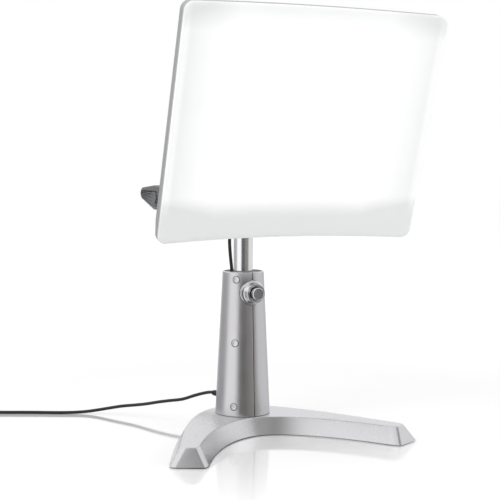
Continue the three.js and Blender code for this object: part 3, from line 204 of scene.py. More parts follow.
# Panel
PANEL_HALF_WIDTH = 204.9
PANEL_HALF_HEIGHT = 167.95
PANEL_TILT = 16.75
BOW_DEPTH = 18.7
PANEL_CORNER = 14
PANEL_STEPS = 48
COVER_DEPTH = 6.2
COVER_ROLL = 8
COVER_ROLL_DEPTH = 2.6
COVER_RIM = 3
HOUSING_INSET = 0.5
PANEL_DEPTH = 20.3
HOUSING_WALL = 2.4
REAR_EDGE = 4.1
LOWER_TAPER = 30
LOWER_TAPER_DEPTH = 7
BULGE_HALF_WIDTH = 174
BULGE_TOP = 120
BULGE_BOTTOM = -140
BULGE_DEPTH = 70
BULGE_CORNER = 12
BULGE_EDGE = 7
PIVOT_DEPTH = 43
PIVOT_RISE = -113
VENT_WIDTH = 3
VENT_HEIGHT = 26
VENT_PITCH = 11
VENT_COUNT = 12
VENT_LEVELS = (92, -112)
COVER_SCREWS = ((-189.9, 118), (189.9, 118), (-189.9, -118), (189.9, -118))
SCREW_HEAD = 3.4
SWITCH_SIDE = 125
SWITCH_UP = -62
SWITCH_HALF_WIDTH = 7.5
SWITCH_HALF_HEIGHT = 10.5
SWITCH_WALL = 1.2
SWITCH_BEZEL = 2.5
SWITCH_PROUD = 1.6
SWITCH_TILT = 8
ROCKER_AXIS = 3
MARK_RISE = 5.8
MARK_SLOPE = 0.12

# Lit part of the cover, in the panel's own plane: where the glow is nothing, and where it is full
GLOW_SIDE = (235, 118)
GLOW_TOP = (188, 130)
GLOW_BOTTOM = (-139, -97)
# Painted highlight on the cover's rolled left and right edges, as emission: where it is nothing, and where
# it is full
PAINTED_EDGE_HIGHLIGHT = (190, 198)
GLOW_STRENGTH = 0.31
# Strength of that painted edge highlight
PAINTED_EDGE_HIGHLIGHT_STRENGTH = 0.09

# Power cord, coil and plug
CORD_RADIUS = 2.6
CORD_ROUTE = (
    (-30.5, 78, 44.8), (-42, 91, 39.4), (-57, 105, 32.1), (-74, 119, 28.6), (-88, 131, 25.4),
    (-104, 145, 21), (-118, 161, 17.3), (-134, 176, 14.2), (-151, 187, 10.6), (-167, 197.5, 6.9),
    (-185, 206, 4), (-205, 213, 2.9), (-222, 220.5, 2.6), (-240, 229, 2.6), (-262, 241, 2.6),
    (-290, 254, 2.6), (-320, 268.5, 2.6), (-345, 282, 2.6),
)
COIL_START = Vector((-368, 295, 2.6))
COIL_HEADING = 150.6
COIL_RADIUS = 38.7
COIL_PITCH = 5.8
COIL_IN = 3.25
COIL_BACK = 0.5
COIL_OUT = 3.5
COIL_STEPS = 24
COIL_TAIL = 26
TIE_THICKNESS = 0.45
TIE_WIDTH = 12
TIE_TURN = 40
PLUG_NECK = 16
PLUG_NECK_RADIUS = 4.2
PLUG_NECK_RIBS = 6
PLUG_SHOULDER = 5
PLUG_LENGTH = 30
PLUG_HALF_WIDTH = 12.5
PLUG_HALF_THICKNESS = 8.2
PLUG_WAIST = 11
PLUG_CORNER = 4
PLUG_GRIP_RIBS = 5
PLUG_ROUND = 1.5
PLUG_BODY = PLUG_NECK + PLUG_SHOULDER
PLUG_END = PLUG_BODY + PLUG_LENGTH
BLADE_LENGTH = 17
BLADE_WIDTH = 6.3
BLADE_THICKNESS = 1.5
BLADE_APART = 12.7
BLADE_HOLE = 1.7

# Paint and grain
NOISE_RANGE = (0.3, 0.7)
# Pointiness over which sharp edges turn lighter: part wear, part painted highlight
EDGE_WEAR_AND_HIGHLIGHT_RANGE = (0.52, 0.60)
GLOSS_SPREAD = 0.02
PAINT_DEPTH = 0.05
PURE_WHITE = (1, 1, 1, 1)

# Floor and studio: ranges on the floor are metres, those of the wall and the ceiling are the rise
# of a direction of length 1
FLOOR_SIZE = 9000
FLOOR_ROUGHNESS = 0.07
FLOOR_IOR = 1.5
FLOOR_GAIN = 1.8
FLOOR_LIFT_RANGE = (0.5, 2.2)
FLOOR_LIFT = 0.42
FLOOR_FADE_RANGE = (-0.62, -0.1)
FLOOR_FADED = 0.06
FLOOR_MIRROR_RANGE = (1.2, 0.5)
WALL_RANGE = (0.12, 0.24)
WALL_TONE = 0.95
CEILING_RANGE = (0.32, 0.5)
WORLD_STRENGTH = 0.62

HEAD_TURN = Euler((math.radians(PANEL_TILT), 0, 0)).to_matrix()
HEAD_BACK = HEAD_TURN @ BACK
HEAD_UP = HEAD_TURN @ UP
PIVOT = Vector((0, -PIVOT_AHEAD, PIVOT_HEIGHT))
HEAD_PLACE = PIVOT - HEAD_TURN @ Vector((0, PIVOT_DEPTH, PIVOT_RISE))


def on_head(point):
    return HEAD_PLACE + HEAD_TURN @ Vector(point)


# A level direction, by its angle from +X towards +Y
def compass(angle):
    return Vector((math.cos(math.radians(angle)), math.sin(math.radians(angle)), 0))


def left_of(way):
    return Vector((-way.y, way.x, 0))


# Where a small shape's own x, y and z point, from its own origin
def placed(origin, across, along, out):
    return lambda spot: origin + across * spot.x + along * spot.y + out * spot.z


# The same on the panel: x to the right, y up the panel and z out of its back
def on_panel(across, depth, rise):
    return placed(on_head((across, depth, rise)), RIGHT, HEAD_UP, HEAD_BACK)


def show(name, data):
    item = bpy.data.objects.new(name, data)
    bpy.context.scene.collection.objects.link(item)
    return item


def make_camera():
    upward = CAMERA_RIGHT.cross(CAMERA_FORWARD).normalized()
    rightward = CAMERA_FORWARD.cross(upward).normalized()
    turn = Matrix((rightward, upward, -CAMERA_FORWARD.normalized())).transposed().to_4x4()
    data = bpy.data.cameras.new("camera")
    data.lens = CAMERA_LENS
    data.sensor_width = CAMERA_SENSOR
    data.clip_end = CAMERA_SIGHT
    camera = show("camera", data)
    camera.matrix_world = Matrix.Translation(CAMERA_PLACE * MM) @ turn
    bpy.context.scene.camera = camera
    bpy.context.scene.view_settings.view_transform = "Standard"


make_camera()


# Shader nodes: each input takes a value, or is joined to another node's output
class Graph:
    def __init__(self, tree):
        self.tree = tree

    def feed(self, node, inputs):
        for key, value in inputs.items():
            if isinstance(value, bpy.types.NodeSocket):
                self.tree.links.new(value, node.inputs[key])
            else:
                node.inputs[key].default_value = value

    def node(self, kind, inputs=(), **settings):
        node = self.tree.nodes.new("ShaderNode" + kind)
        for key, value in settings.items():
            setattr(node, key, value)
        self.feed(node, dict(inputs))
        return node

    def wire(self, kind, output, inputs=(), **settings):
        return self.node(kind, inputs, **settings).outputs[output]

    def combine(self, operation, *values, **settings):
        return self.wire("Math", "Value", enumerate(values), operation=operation, **settings)

    def ramp(self, value, start, end, low=0, high=1, shape="LINEAR"):
        ends = {"From Min": start, "From Max": end, "To Min": low, "To Max": high}
        return self.wire("MapRange", "Result", {"Value": value, **ends}, interpolation_type=shape)

    def ease(self, value, start, end, low=0, high=1):
        return self.ramp(value, start, end, low, high, "SMOOTHSTEP")

    def mix(self, share, first, second):
        return self.wire("Mix", "Result", {"Factor": share, "A": first, "B": second}, data_type="RGBA")

    def mix_shaders(self, share, first, second):
        return self.wire("MixShader", "Shader", {"Fac": share, 1: first, 2: second})

    def split(self, vector):
        return self.node("SeparateXYZ", {"Vector": vector}).outputs


# Materials: each has its own grain, and its colour and gloss vary a little over the surface; sharp edges
# turn lighter, part wear and part painted highlight
class Finish(Graph):
    def __init__(self, name, color, roughness, metallic=0.0):
        self.material = bpy.data.materials.new(name)
        self.material.use_nodes = True
        self.material.diffuse_color = (*color, 1)
        super().__init__(self.material.node_tree)
        self.shader = self.tree.nodes["Principled BSDF"]
        self.feed(self.shader, {"Metallic": metallic})
        self.color = color
        self.roughness = roughness
        self.place = self.wire("TexCoord", "Object")

    def noise(self, size, detail=2.0, stretch=(1, 1, 1)):
        scale = [s / (size * MM) for s in stretch]
        place = self.wire("Mapping", "Vector", {"Vector": self.place, "Scale": scale})
        return self.wire("TexNoise", "Fac", {"Vector": place, "Scale": 1, "Detail": detail})

    def spread(self, value, low, high):
        return self.ramp(value, *NOISE_RANGE, low, high)

    def tint(self, value, low, high):
        dark, bright = ((*[min(c * share, 1) for c in self.color], 1) for share in (low, high))
        return self.mix(self.spread(value, 0, 1), dark, bright)

    # Sharp edges lighter by pointiness: part wear, part painted highlight where the edges catch light
    def wear_and_highlight(self, color, share, light):
        edge = self.ramp(self.wire("NewGeometry", "Pointiness"), *EDGE_WEAR_AND_HIGHLIGHT_RANGE, 0, share)
        return self.mix(edge, color, (*light, 1))

    def grain(self, value, strength, depth):
        bump = {"Strength": strength, "Distance": depth * MM, "Height": value}
        self.feed(self.shader, {"Normal": self.wire("Bump", "Normal", bump)})

    def coat(self, color, gloss):
        self.feed(self.shader, {"Base Color": color, "Roughness": gloss})

    def paint(self, fleck, patch, bump, low, high, edge_wear_and_highlight=0.0, light=(1, 1, 1)):
        color = self.tint(self.noise(fleck, 3), low, high)
        if edge_wear_and_highlight:
            color = self.wear_and_highlight(color, edge_wear_and_highlight, light)
        gloss = self.roughness - GLOSS_SPREAD, self.roughness + GLOSS_SPREAD
        self.coat(color, self.spread(self.noise(patch), *gloss))
        self.grain(self.noise(fleck * 2, 3), bump, PAINT_DEPTH)
        return self.material


def silver_material(name, color, roughness, metallic):
    return Finish(name, color, roughness, metallic).paint(
        fleck=0.35, patch=30, bump=0.008, low=0.985, high=1.015, edge_wear_and_highlight=0.12, light=(0.86, 0.86, 0.88))


def plastic_material(name, color, roughness, fleck=0.5, bump=0.3):
    return Finish(name, color, roughness).paint(
        fleck, patch=18, bump=bump, low=0.92, high=1.08, edge_wear_and_highlight=0.15,
        light=[min(1, c * 1.8 + 0.05) for c in color])


def brushed_material(name, color, roughness, stretch):
    finish = Finish(name, color, roughness, 1.0)
    lines = finish.noise(0.8, 3, stretch)
    finish.coat(finish.tint(lines, 0.93, 1.05), finish.spread(lines, roughness * 0.8, roughness * 1.25))
    finish.grain(lines, 0.05, 0.02)
    return finish.material


def chrome_material():
    finish = Finish("polished_chrome", (0.95, 0.952, 0.96), 0.06, 0.9)
    streaks = finish.noise(1.4, 4, (1, 1, 0.05))
    finish.coat(finish.tint(streaks, 0.985, 1.01), finish.spread(finish.noise(9, 3), 0.045, 0.085))
    return finish.material


def rubber_material(name, color, roughness):
    finish = Finish(name, color, roughness)
    finish.feed(finish.shader, {"Sheen Weight": 0.15})
    return finish.paint(fleck=0.6, patch=14, bump=0.25, low=0.88, high=1.12)


# Diffuser of the lit cover: the fade is worked out from its own UV map, in millimetres. Extra emission along
# its rolled left and right edges is a painted highlight
def glow_material():
    finish = Finish("opal_cover", (0.775, 0.78, 0.785), 0.3)
    across, rise = finish.split(finish.wire("UVMap", "UV", uv_map="panel"))[:2]
    across = finish.combine("ABSOLUTE", across)
    side = finish.ramp(across, *GLOW_SIDE)
    top = finish.ramp(rise, *GLOW_TOP)
    bottom = finish.ease(rise, *GLOW_BOTTOM)
    upright = finish.combine("MINIMUM", top, bottom)
    both = finish.combine("SUBTRACT", finish.combine("ADD", side, upright), 1)
    tubes = finish.spread(finish.noise(60), GLOW_STRENGTH * 0.97, GLOW_STRENGTH * 1.03)
    glow = finish.combine("MULTIPLY", finish.combine("MAXIMUM", both, 0), tubes)
    # Painted highlight: extra emission on the rolled left and right edges, where light catches them
    edge = finish.ease(across, *PAINTED_EDGE_HIGHLIGHT)
    painted_edge_highlight = finish.combine("MULTIPLY", finish.combine("MULTIPLY", edge, upright), PAINTED_EDGE_HIGHLIGHT_STRENGTH)
    fine = finish.noise(0.7, 3)
    finish.feed(finish.shader, {
        "Coat Weight": 0.25, "Coat Roughness": 0.12, "Emission Color": (1.0, 0.995, 0.985, 1),
        "Emission Strength": finish.combine("ADD", glow, painted_edge_highlight),
    })
    finish.coat(finish.tint(fine, 0.995, 1.005), finish.spread(finish.noise(25), 0.29, 0.31))
    finish.grain(fine, 0.05, 0.03)
    return finish.material


SILVER = silver_material("silver_shell", (0.70, 0.69, 0.705), 0.3, 0.94)
BASE_PAINT = silver_material("silver_base", (0.66, 0.662, 0.68), 0.28, 0.92)
LOCK_SILVER = silver_material("silver_lock", (0.76, 0.765, 0.785), 0.16, 0.97)
BUTTON_FACE = plastic_material("button_face", (0.16, 0.16, 0.165), 0.5)
CAP_SILVER = silver_material("silver_cap", (0.72, 0.715, 0.73), 0.3, 0.92)
HOUSING = plastic_material("grey_housing", (0.30, 0.303, 0.31), 0.42, 0.8, 0.45)
# The cover's side wall is white plastic; this grey is painted shade
COVER_SIDE_PAINTED_SHADE = plastic_material("cover_side_painted_shade", (0.42, 0.424, 0.432), 0.38, 0.8, 0.3)
YOKE_GREY = plastic_material("dark_yoke", (0.115, 0.117, 0.122), 0.42, 0.6, 0.4)
LEVER_GREY = plastic_material("grey_lever", (0.12, 0.122, 0.127), 0.3, 0.6, 0.2)
BLACK = plastic_material("black_plastic", (0.022, 0.022, 0.024), 0.4, 0.4, 0.3)
MARK_WHITE = plastic_material("white_mark", (0.75, 0.75, 0.74), 0.5)
WHITE = plastic_material("white_plastic", (0.82, 0.82, 0.81), 0.45)
RUBBER = rubber_material("black_rubber", (0.011, 0.0115, 0.0125), 0.5)
FOOT_RUBBER = rubber_material("foot_rubber", (0.018, 0.018, 0.019), 0.8)
TIE_CLOTH = rubber_material("tie_strap", (0.012, 0.012, 0.013), 0.9)
CHROME = chrome_material()
STEEL = brushed_material("bright_steel", (0.55, 0.56, 0.58), 0.32, (1, 1, 0.08))
BRASS = brushed_material("plated_brass", (0.72, 0.62, 0.42), 0.25, (0.1, 1, 1))
TRAY = silver_material("white_tray", (0.84, 0.84, 0.83), 0.3, 0.3)
TUBE_GLASS = plastic_material("lamp_glass", (0.86, 0.86, 0.85), 0.12, 2, 0.05)
OPAL = glow_material()


# Mesh helpers
def smooth(piece, angle=SHARP_ANGLE):
    mesh = piece.data
    for polygon in mesh.polygons:
        polygon.use_smooth = True
    mesh.set_sharp_from_angle(angle=math.radians(angle))


def make_piece(name, shapes, material, body, nodes=(), angle=SHARP_ANGLE):
    points = []
    faces = []
    for shape_points, shape_faces in shapes:
        start = len(points)
        points += [tuple(point * MM) for point in shape_points]
        faces += [[start + i for i in face] for face in shape_faces]
    mesh = bpy.data.meshes.new(name)
    mesh.from_pydata(points, [], faces)
    work = bmesh.new()
    work.from_mesh(mesh)
    bmesh.ops.remove_doubles(work, verts=work.verts, dist=WELD * MM)
    bmesh.ops.recalc_face_normals(work, faces=work.faces)
    work.to_mesh(mesh)
    work.free()
    mesh.materials.append(material)
    piece = show(name, mesh)
    smooth(piece, angle)
    dress(piece, body, nodes)
    return piece


def dress(piece, body, nodes):
    if body:
        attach(piece, body)
    if nodes:
        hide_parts(*nodes)


# A cord or lead: a round line through the points
def make_line(name, line, radius, rounding, body, nodes):
    data = bpy.data.curves.new(name, "CURVE")
    data.dimensions = "3D"
    data.bevel_depth = radius * MM
    data.bevel_resolution = rounding
    data.use_fill_caps = True
    spline = data.splines.new("POLY")
    spline.points.add(len(line) - 1)
    for spot, point in zip(line, spline.points):
        point.co = (*(spot * MM), 1)
    data.materials.append(RUBBER)
    piece = show(name, data)
    dress(piece, body, nodes)
    return piece


def carve(piece, cutters, operation="DIFFERENCE"):
    for shapes in cutters:
        cutter = make_piece("cutter", shapes, piece.data.materials[0], None)
        step = piece.modifiers.new("carve", "BOOLEAN")
        step.operation = operation
        step.solver = "EXACT"
        step.object = cutter
        bpy.context.view_layer.update()
        shown = piece.evaluated_get(bpy.context.evaluated_depsgraph_get())
        carved = bpy.data.meshes.new_from_object(shown)
        piece.modifiers.clear()
        old = piece.data
        piece.data = carved
        carved.name = old.name
        bpy.data.meshes.remove(old)
        used = cutter.data
        bpy.data.objects.remove(cutter)
        bpy.data.meshes.remove(used)
    smooth(piece)


def fillet(profile, radius, steps=4):
    result = [profile[0]]
    for before, corner, after in zip(profile, profile[1:], profile[2:]):
        corner = Vector(corner)
        ends = []
        for side in (Vector(before) - corner, Vector(after) - corner):
            ends.append(corner + side.normalized() * min(radius, side.length * FILLET_SHARE))
        for i in range(steps + 1):
            t = i / steps
            result.append(tuple(ends[0].lerp(corner, t).lerp(corner.lerp(ends[1], t), t)))
    result.append(profile[-1])
    return result


# How far a quarter turn has left its first side, and how far it is from its last, in steps
def quarter(steps):
    turns = (math.pi / 2 * i / steps for i in range(steps + 1))
    return [(1 - math.cos(t), 1 - math.sin(t)) for t in turns]


def loft(rings, caps=True, pairs=()):
    count = len(rings[0])
    points = [point for ring in rings for point in ring]
    last = len(points) - count
    faces = []
    for row in range(0, last, count):
        for i in range(count):
            j = (i + 1) % count
            faces.append((row + i, row + j, row + count + j, row + count + i))
    for (a, b), (c, d) in pairs:
        faces += [(a, c, d, b), (last + a, last + c, last + d, last + b)]
    if caps and not pairs:
        faces += [tuple(range(count)), tuple(range(last, last + count))]
    return points, faces


def lathe(profile, origin, direction, segments=96, edge=0.0):
    turn = direction.to_track_quat("Z", "Y")
    angles = [2 * math.pi * i / segments for i in range(segments)]
    rings = [[origin + turn @ Vector((radius * math.cos(a), radius * math.sin(a), height)) for a in angles]
             for radius, height in (fillet(profile, edge) if edge else profile)]
    return loft(rings, caps=False)


def rod(radius, length, origin, direction, segments=48):
    return lathe([(0, 0), (radius, 0), (radius, length), (0, length)], origin, direction, segments)


# Pairs of ring points that face each other, so that a cap is one neat strip
def facing(count):
    ties = [(i, count - 1 - i) for i in range(count // 2)]
    return list(zip(ties, ties[1:]))


def grown(outline, distance):
    count = len(outline)
    result = []
    for i, point in enumerate(outline):
        before = (point - outline[i - 1]).normalized()
        after = (outline[(i + 1) % count] - point).normalized()
        normal_before = Vector((before.y, -before.x))
        normal_after = Vector((after.y, -after.x))
        reach = distance / (1 + normal_before.dot(normal_after))
        result.append(point + (normal_before + normal_after) * reach)
    return result


def slab(outline, levels, place):
    return loft([[place(Vector((p.x, p.y, level))) for p in grown(outline, growth)]
                 for level, growth in levels])


def edged(low, high, radius, steps=3):
    start = [(low + radius * c, -radius * s) for c, s in quarter(steps)]
    return start + [(high - level + low, growth) for level, growth in reversed(start)]


def round_rect(half_width, half_height, corner, steps=6):
    points = []
    for x, y, start in ((1, -1, -90), (1, 1, 0), (-1, 1, 90), (-1, -1, 180)):
        for i in range(steps + 1):
            angle = math.radians(start + 90 * i / steps)
            points.append(Vector((x * (half_width - corner) + corner * math.cos(angle),
                                  y * (half_height - corner) + corner * math.sin(angle))))
    return points


def bezier(a, b, c, d, steps):
    points = []
    for i in range(steps + 1):
        t = i / steps
        s = 1 - t
        points.append(a * s ** 3 + b * 3 * s * s * t + c * 3 * s * t * t + d * t ** 3)
    return points


# A line through all the points, without loops where they lie close together
def smooth_line(points, steps):
    line = []
    for i in range(len(points) - 1):
        p1, p2 = points[i], points[i + 1]
        p0 = points[i - 1] if i else p1 * 2 - p2
        p3 = points[i + 2] if i + 2 < len(points) else p2 * 2 - p1
        knots = [0]
        for a, b in ((p0, p1), (p1, p2), (p2, p3)):
            knots.append(knots[-1] + math.sqrt((b - a).length))
        for j in range(steps):
            t = knots[1] + (knots[2] - knots[1]) * j / steps

            def between(a, b, first, last, t=t, knots=knots):
                return a.lerp(b, (t - knots[first]) / (knots[last] - knots[first]))

            a1, a2, a3 = between(p0, p1, 0, 1), between(p1, p2, 1, 2), between(p2, p3, 2, 3)
            line.append(between(between(a1, a2, 0, 2), between(a2, a3, 1, 3), 1, 2))
    return line + [points[-1]]


def column_radius(height):
    taper = (COLUMN_FOOT_RADIUS - COLUMN_MOUTH_RADIUS) / (COLUMN_TOP - COLUMN_FOOT)
    return COLUMN_FOOT_RADIUS - (height - COLUMN_FOOT) * taper


# Power cord: the free stretch, the coil and the tail, on one line
RELIEF_WAY = compass(90 + RELIEF_TURN)
RELIEF_REACH = column_radius(RELIEF_HEIGHT) + RELIEF_LENGTH
CORD_EXIT = RELIEF_WAY * (RELIEF_REACH + CLEAR) + UP * RELIEF_HEIGHT
COIL_WAY = compass(COIL_HEADING)
COIL_INNER = COIL_RADIUS - COIL_PITCH * COIL_IN


def coil_line():
    begin = COIL_START + COIL_WAY * CLEAR
    wind = begin + COIL_WAY * 2 * CORD_RADIUS
    centre = wind + left_of(COIL_WAY) * COIL_RADIUS
    turns = COIL_IN + COIL_BACK + COIL_OUT
    points = [begin.lerp(wind, 0.5)]
    for i in range(round(turns * COIL_STEPS) + 1):
        turn = i / COIL_STEPS
        back = min(max((turn - COIL_IN) / COIL_BACK, 0), 1)
        dip = COIL_PITCH / (2 * math.pi) * math.sin(math.pi * back)
        radius = COIL_RADIUS - COIL_PITCH * turn if turn < COIL_IN else COIL_INNER
        radius += COIL_PITCH * max(turn - COIL_IN - COIL_BACK, 0) - dip
        climb = COIL_PITCH * back * back * (3 - 2 * back)
        points.append(centre + compass(COIL_HEADING - 90 + 360 * turn) * radius + UP * climb)
    tail = compass(COIL_HEADING + 360 * turns)
    last = points[-1]
    points += [last + tail * COIL_TAIL * i / 3 for i in (1, 2, 3)]
    return points, tail, centre


COIL_POINTS, PLUG_WAY, COIL_CENTRE = coil_line()


def make_cord():
    points = [CORD_EXIT, CORD_EXIT + RELIEF_WAY * 2 * CORD_RADIUS, *map(Vector, CORD_ROUTE),
              COIL_START - COIL_WAY * 2 * CORD_RADIUS, COIL_START, *COIL_POINTS]
    line = smooth_line(points, 3)
    cord = make_line("power_cord_line", line, CORD_RADIUS - 0.03, 4, "base",
                     ["power_cord", "power_cord_coil"])
    return cord, sum((b - a).length for a, b in zip(line, line[1:])) * MM


# Ribbed neck, shoulder, ribbed grip and rounded end: place along, half width, half height, corner
def plug_rings():
    neck = PLUG_NECK_RADIUS
    rings = []
    for i in range(PLUG_NECK_RIBS):
        for at, half in ((0, neck), (0.62, neck), (0.68, 3.3), (0.95, 3.3)):
            rings.append(((i + at) * PLUG_NECK / PLUG_NECK_RIBS, half, half, half * 0.98))
    rings.append((PLUG_NECK, neck, neck, 4.1))
    for t in (0.15, 0.3, 0.5, 0.7, 0.85, 1.0):
        grow = t * t * (3 - 2 * t)
        rings.append((PLUG_NECK + PLUG_SHOULDER * t, neck + (PLUG_WAIST - neck) * grow,
                      neck + (PLUG_HALF_THICKNESS - neck) * grow, PLUG_CORNER))
    for i in range(PLUG_GRIP_RIBS):
        for at, dip in ((0, 0), (0.5, 0.7), (1.5, 0.7), (2, 0)):
            past = 5 + i * 3
            rings.append((PLUG_BODY + past + at, PLUG_WAIST + past * 0.06 - dip,
                          PLUG_HALF_THICKNESS - dip, PLUG_CORNER))
    rings.append((PLUG_END - 4, PLUG_HALF_WIDTH, PLUG_HALF_THICKNESS, PLUG_CORNER))
    for t in (0, 0.35, 0.7, 1.0):
        angle = t * math.pi / 2
        inset = PLUG_ROUND * (1 - math.cos(angle))
        rings.append((PLUG_END - PLUG_ROUND * (1 - math.sin(angle)), PLUG_HALF_WIDTH - inset,
                      PLUG_HALF_THICKNESS - inset, PLUG_CORNER))
    return rings


def make_plug():
    across = left_of(PLUG_WAY)
    on_plug = placed(COIL_POINTS[-1] + PLUG_WAY * CLEAR, across, UP, PLUG_WAY)
    loops = [[on_plug(Vector((p.x, p.y, at)))
              for p in round_rect(half, high, min(corner, high * 0.98))]
             for at, half, high, corner in plug_rings()]
    pieces = [make_piece("plug_moulding", [loft(loops)], BLACK, "base", ["plug_body"])]
    outline = round_rect((BLADE_LENGTH + 4) / 2, BLADE_WIDTH / 2, 1.6)
    half = BLADE_THICKNESS / 2
    for number, side in ((1, -BLADE_APART / 2), (2, BLADE_APART / 2)):
        middle = on_plug(Vector((side, 0, PLUG_END + BLADE_LENGTH / 2 - 2)))
        shape = slab(outline, edged(-half, half, 0.3), placed(middle, PLUG_WAY, UP, across))
        blade = make_piece(f"plug_pin_{number}", [shape], BRASS, "base", [f"plug_blade_{number}"])
        hole = on_plug(Vector((side - 3, 0, PLUG_END + BLADE_LENGTH - 4.2)))
        carve(blade, [[rod(BLADE_HOLE, 6, hole, across)]])
        pieces.append(blade)
    return pieces


# A strap with a small overlap holds the coil's layers together
def make_tie():
    outward = compass(COIL_HEADING + TIE_TURN)
    across = left_of(outward)
    inner = COIL_INNER - 2 * CORD_RADIUS - 1
    outer = COIL_RADIUS + COIL_PITCH * 0.5 + 2 * CORD_RADIUS
    middle = COIL_CENTRE + outward * (inner + outer) / 2 - UP * CORD_RADIUS
    high = 2 * CORD_RADIUS + COIL_PITCH + TIE_THICKNESS
    loop = round_rect((outer - inner) / 2, high / 2, 3.5, 8)
    rings = []
    for offset, grow in ((0, 0), (TIE_WIDTH, 0), (TIE_WIDTH, TIE_THICKNESS), (0, TIE_THICKNESS)):
        rings.append([middle + outward * p.x + across * (offset - TIE_WIDTH / 2)
                      + UP * max(p.y + high / 2, grow - TIE_THICKNESS + 0.5) for p in grown(loop, grow)])
    rings.append(rings[0])
    top = placed(middle + outward * 2 + UP * (high + TIE_THICKNESS), outward, across, UP)
    overlap = slab(round_rect(5, TIE_WIDTH / 2, 2), edged(0, 1.2, 0.4), top)
    return make_piece("coil_tie", [loft(rings, caps=False), overlap], TIE_CLOTH, "base")


cord, cord_length = make_cord()
plug_pieces = make_plug()
make_tie()


# Floor, backdrop and light
def make_floor():
    corners = ((-1, -1), (1, -1), (1, 1), (-1, 1))
    points = [Vector((x, y, 0)) * FLOOR_SIZE for x, y in corners]
    make_piece("floor", [(points, [(0, 1, 2, 3)])], floor_material(), None)


# Matt, with a mirror that is strongest at a grazing angle and fades towards the front and outwards;
# reflections see the studio's tone in place of the floor
def floor_material():
    floor = Finish("studio_floor", (0.93, 0.93, 0.93), 0.5)
    floor.tree.nodes.remove(floor.shader)
    matt = floor.wire("BsdfDiffuse", "BSDF", {"Color": floor.tint(floor.noise(40), 0.995, 1.0)})
    gloss = floor.wire("BsdfGlossy", "BSDF", {"Color": PURE_WHITE, "Roughness": FLOOR_ROUGHNESS})
    away = floor.wire("VectorMath", "Value", {0: floor.place}, operation="LENGTH")
    grazing = floor.wire("Fresnel", "Fac", {"IOR": FLOOR_IOR})
    gain = floor.combine("MULTIPLY", grazing, FLOOR_GAIN, use_clamp=True)
    fade = floor.ease(floor.split(floor.place)[1], *FLOOR_FADE_RANGE, FLOOR_FADED)
    near = floor.ease(away, *FLOOR_MIRROR_RANGE)
    share = floor.combine("MULTIPLY", floor.combine("MULTIPLY", gain, fade), near)
    seen = floor.node("LightPath").outputs
    far = floor.ease(away, *FLOOR_LIFT_RANGE, 0, FLOOR_LIFT)
    lift = {"Strength": floor.combine("MULTIPLY", seen["Is Camera Ray"], far)}
    shown = {0: floor.mix_shaders(share, matt, gloss), 1: floor.wire("Emission", "Emission", lift)}
    tone = {"Color": studio_tone(floor, floor.place, STUDIO_BANDS)}
    final = floor.mix_shaders(seen["Is Glossy Ray"], floor.wire("AddShader", "Shader", shown),
                              floor.wire("Emission", "Emission", tone))
    floor.feed(floor.tree.nodes["Material Output"], {"Surface": final})
    return floor.material


# Tone that metal sees at a compass angle, from the direction's own x and y
def studio_tone(graph, place, table):
    x, y = graph.split(place)[:2]
    share = graph.ramp(graph.combine("ARCTAN2", y, x), -math.pi, math.pi)
    bands = graph.node("ValToRGB", {"Fac": share})
    elements = bands.color_ramp.elements
    while len(elements) < len(table):
        elements.new(0.5)
    for stop, (angle, *tone) in zip(elements, table):
        stop.position = angle / 360 + 0.5
        stop.color = (*tone, 1)
    return bands.outputs["Color"]


# The studio around the lamp is white, with a dark side where the photographer stands
def make_world():
    world = bpy.data.worlds.new("studio")
    bpy.context.scene.world = world
    world.use_nodes = True
    studio = Graph(world.node_tree)
    studio.tree.nodes.clear()
    way = studio.wire("TexCoord", "Generated")
    rise = studio.split(way)[2]
    low = studio_tone(studio, way, STUDIO_BANDS)
    high = studio_tone(studio, way, CEILING_BANDS)
    wall = studio.mix(studio.ease(rise, *WALL_RANGE), low, (WALL_TONE, WALL_TONE, WALL_TONE, 1))
    tone = studio.mix(studio.ease(rise, *CEILING_RANGE), wall, high)
    white = {"Color": PURE_WHITE}
    room, soft, clear = (studio.wire("Background", "Background", inputs) for inputs in (
        {"Color": tone}, {**white, "Strength": WORLD_STRENGTH}, white))
    seen = studio.node("LightPath").outputs
    through = studio.combine("MAXIMUM", seen["Is Camera Ray"], seen["Is Transmission Ray"])
    final = studio.mix_shaders(through, studio.mix_shaders(seen["Is Glossy Ray"], soft, room), clear)
    studio.node("OutputWorld", {"Surface": final})


# Tone of the studio by compass angle from +X, as metal sees it: at the horizon, and high up
STUDIO_BANDS = (
    (-180, 1, 1, 1), (-146, 1, 1, 1), (-137, 0.35, 0.35, 0.35), (-128, 0.06, 0.06, 0.058),
    (-104, 0.065, 0.064, 0.058), (-92, 0.17, 0.162, 0.15), (-62, 0.23, 0.222, 0.205),
    (-52, 0.36, 0.36, 0.35), (-46, 0.72, 0.72, 0.72), (14, 0.72, 0.72, 0.73), (30, 0.5, 0.5, 0.51),
    (42, 0.97, 0.97, 0.97), (88, 0.97, 0.97, 0.97), (105, 0.42, 0.42, 0.43), (148, 0.38, 0.38, 0.395),
    (162, 0.55, 0.55, 0.56), (171, 1, 1, 1), (180, 1, 1, 1),
)
CEILING_BANDS = (
    (-180, 1.15, 1.12, 1.12), (-145, 1.1, 1.08, 1.08), (-117, 0.31, 0.3, 0.295),
    (-100, 0.27, 0.265, 0.26), (-75, 0.38, 0.375, 0.37), (-62, 0.38, 0.375, 0.37),
    (-52, 0.29, 0.28, 0.275), (-30, 0.75, 0.74, 0.74), (0, 1, 0.99, 1), (180, 1.15, 1.12, 1.12),
)


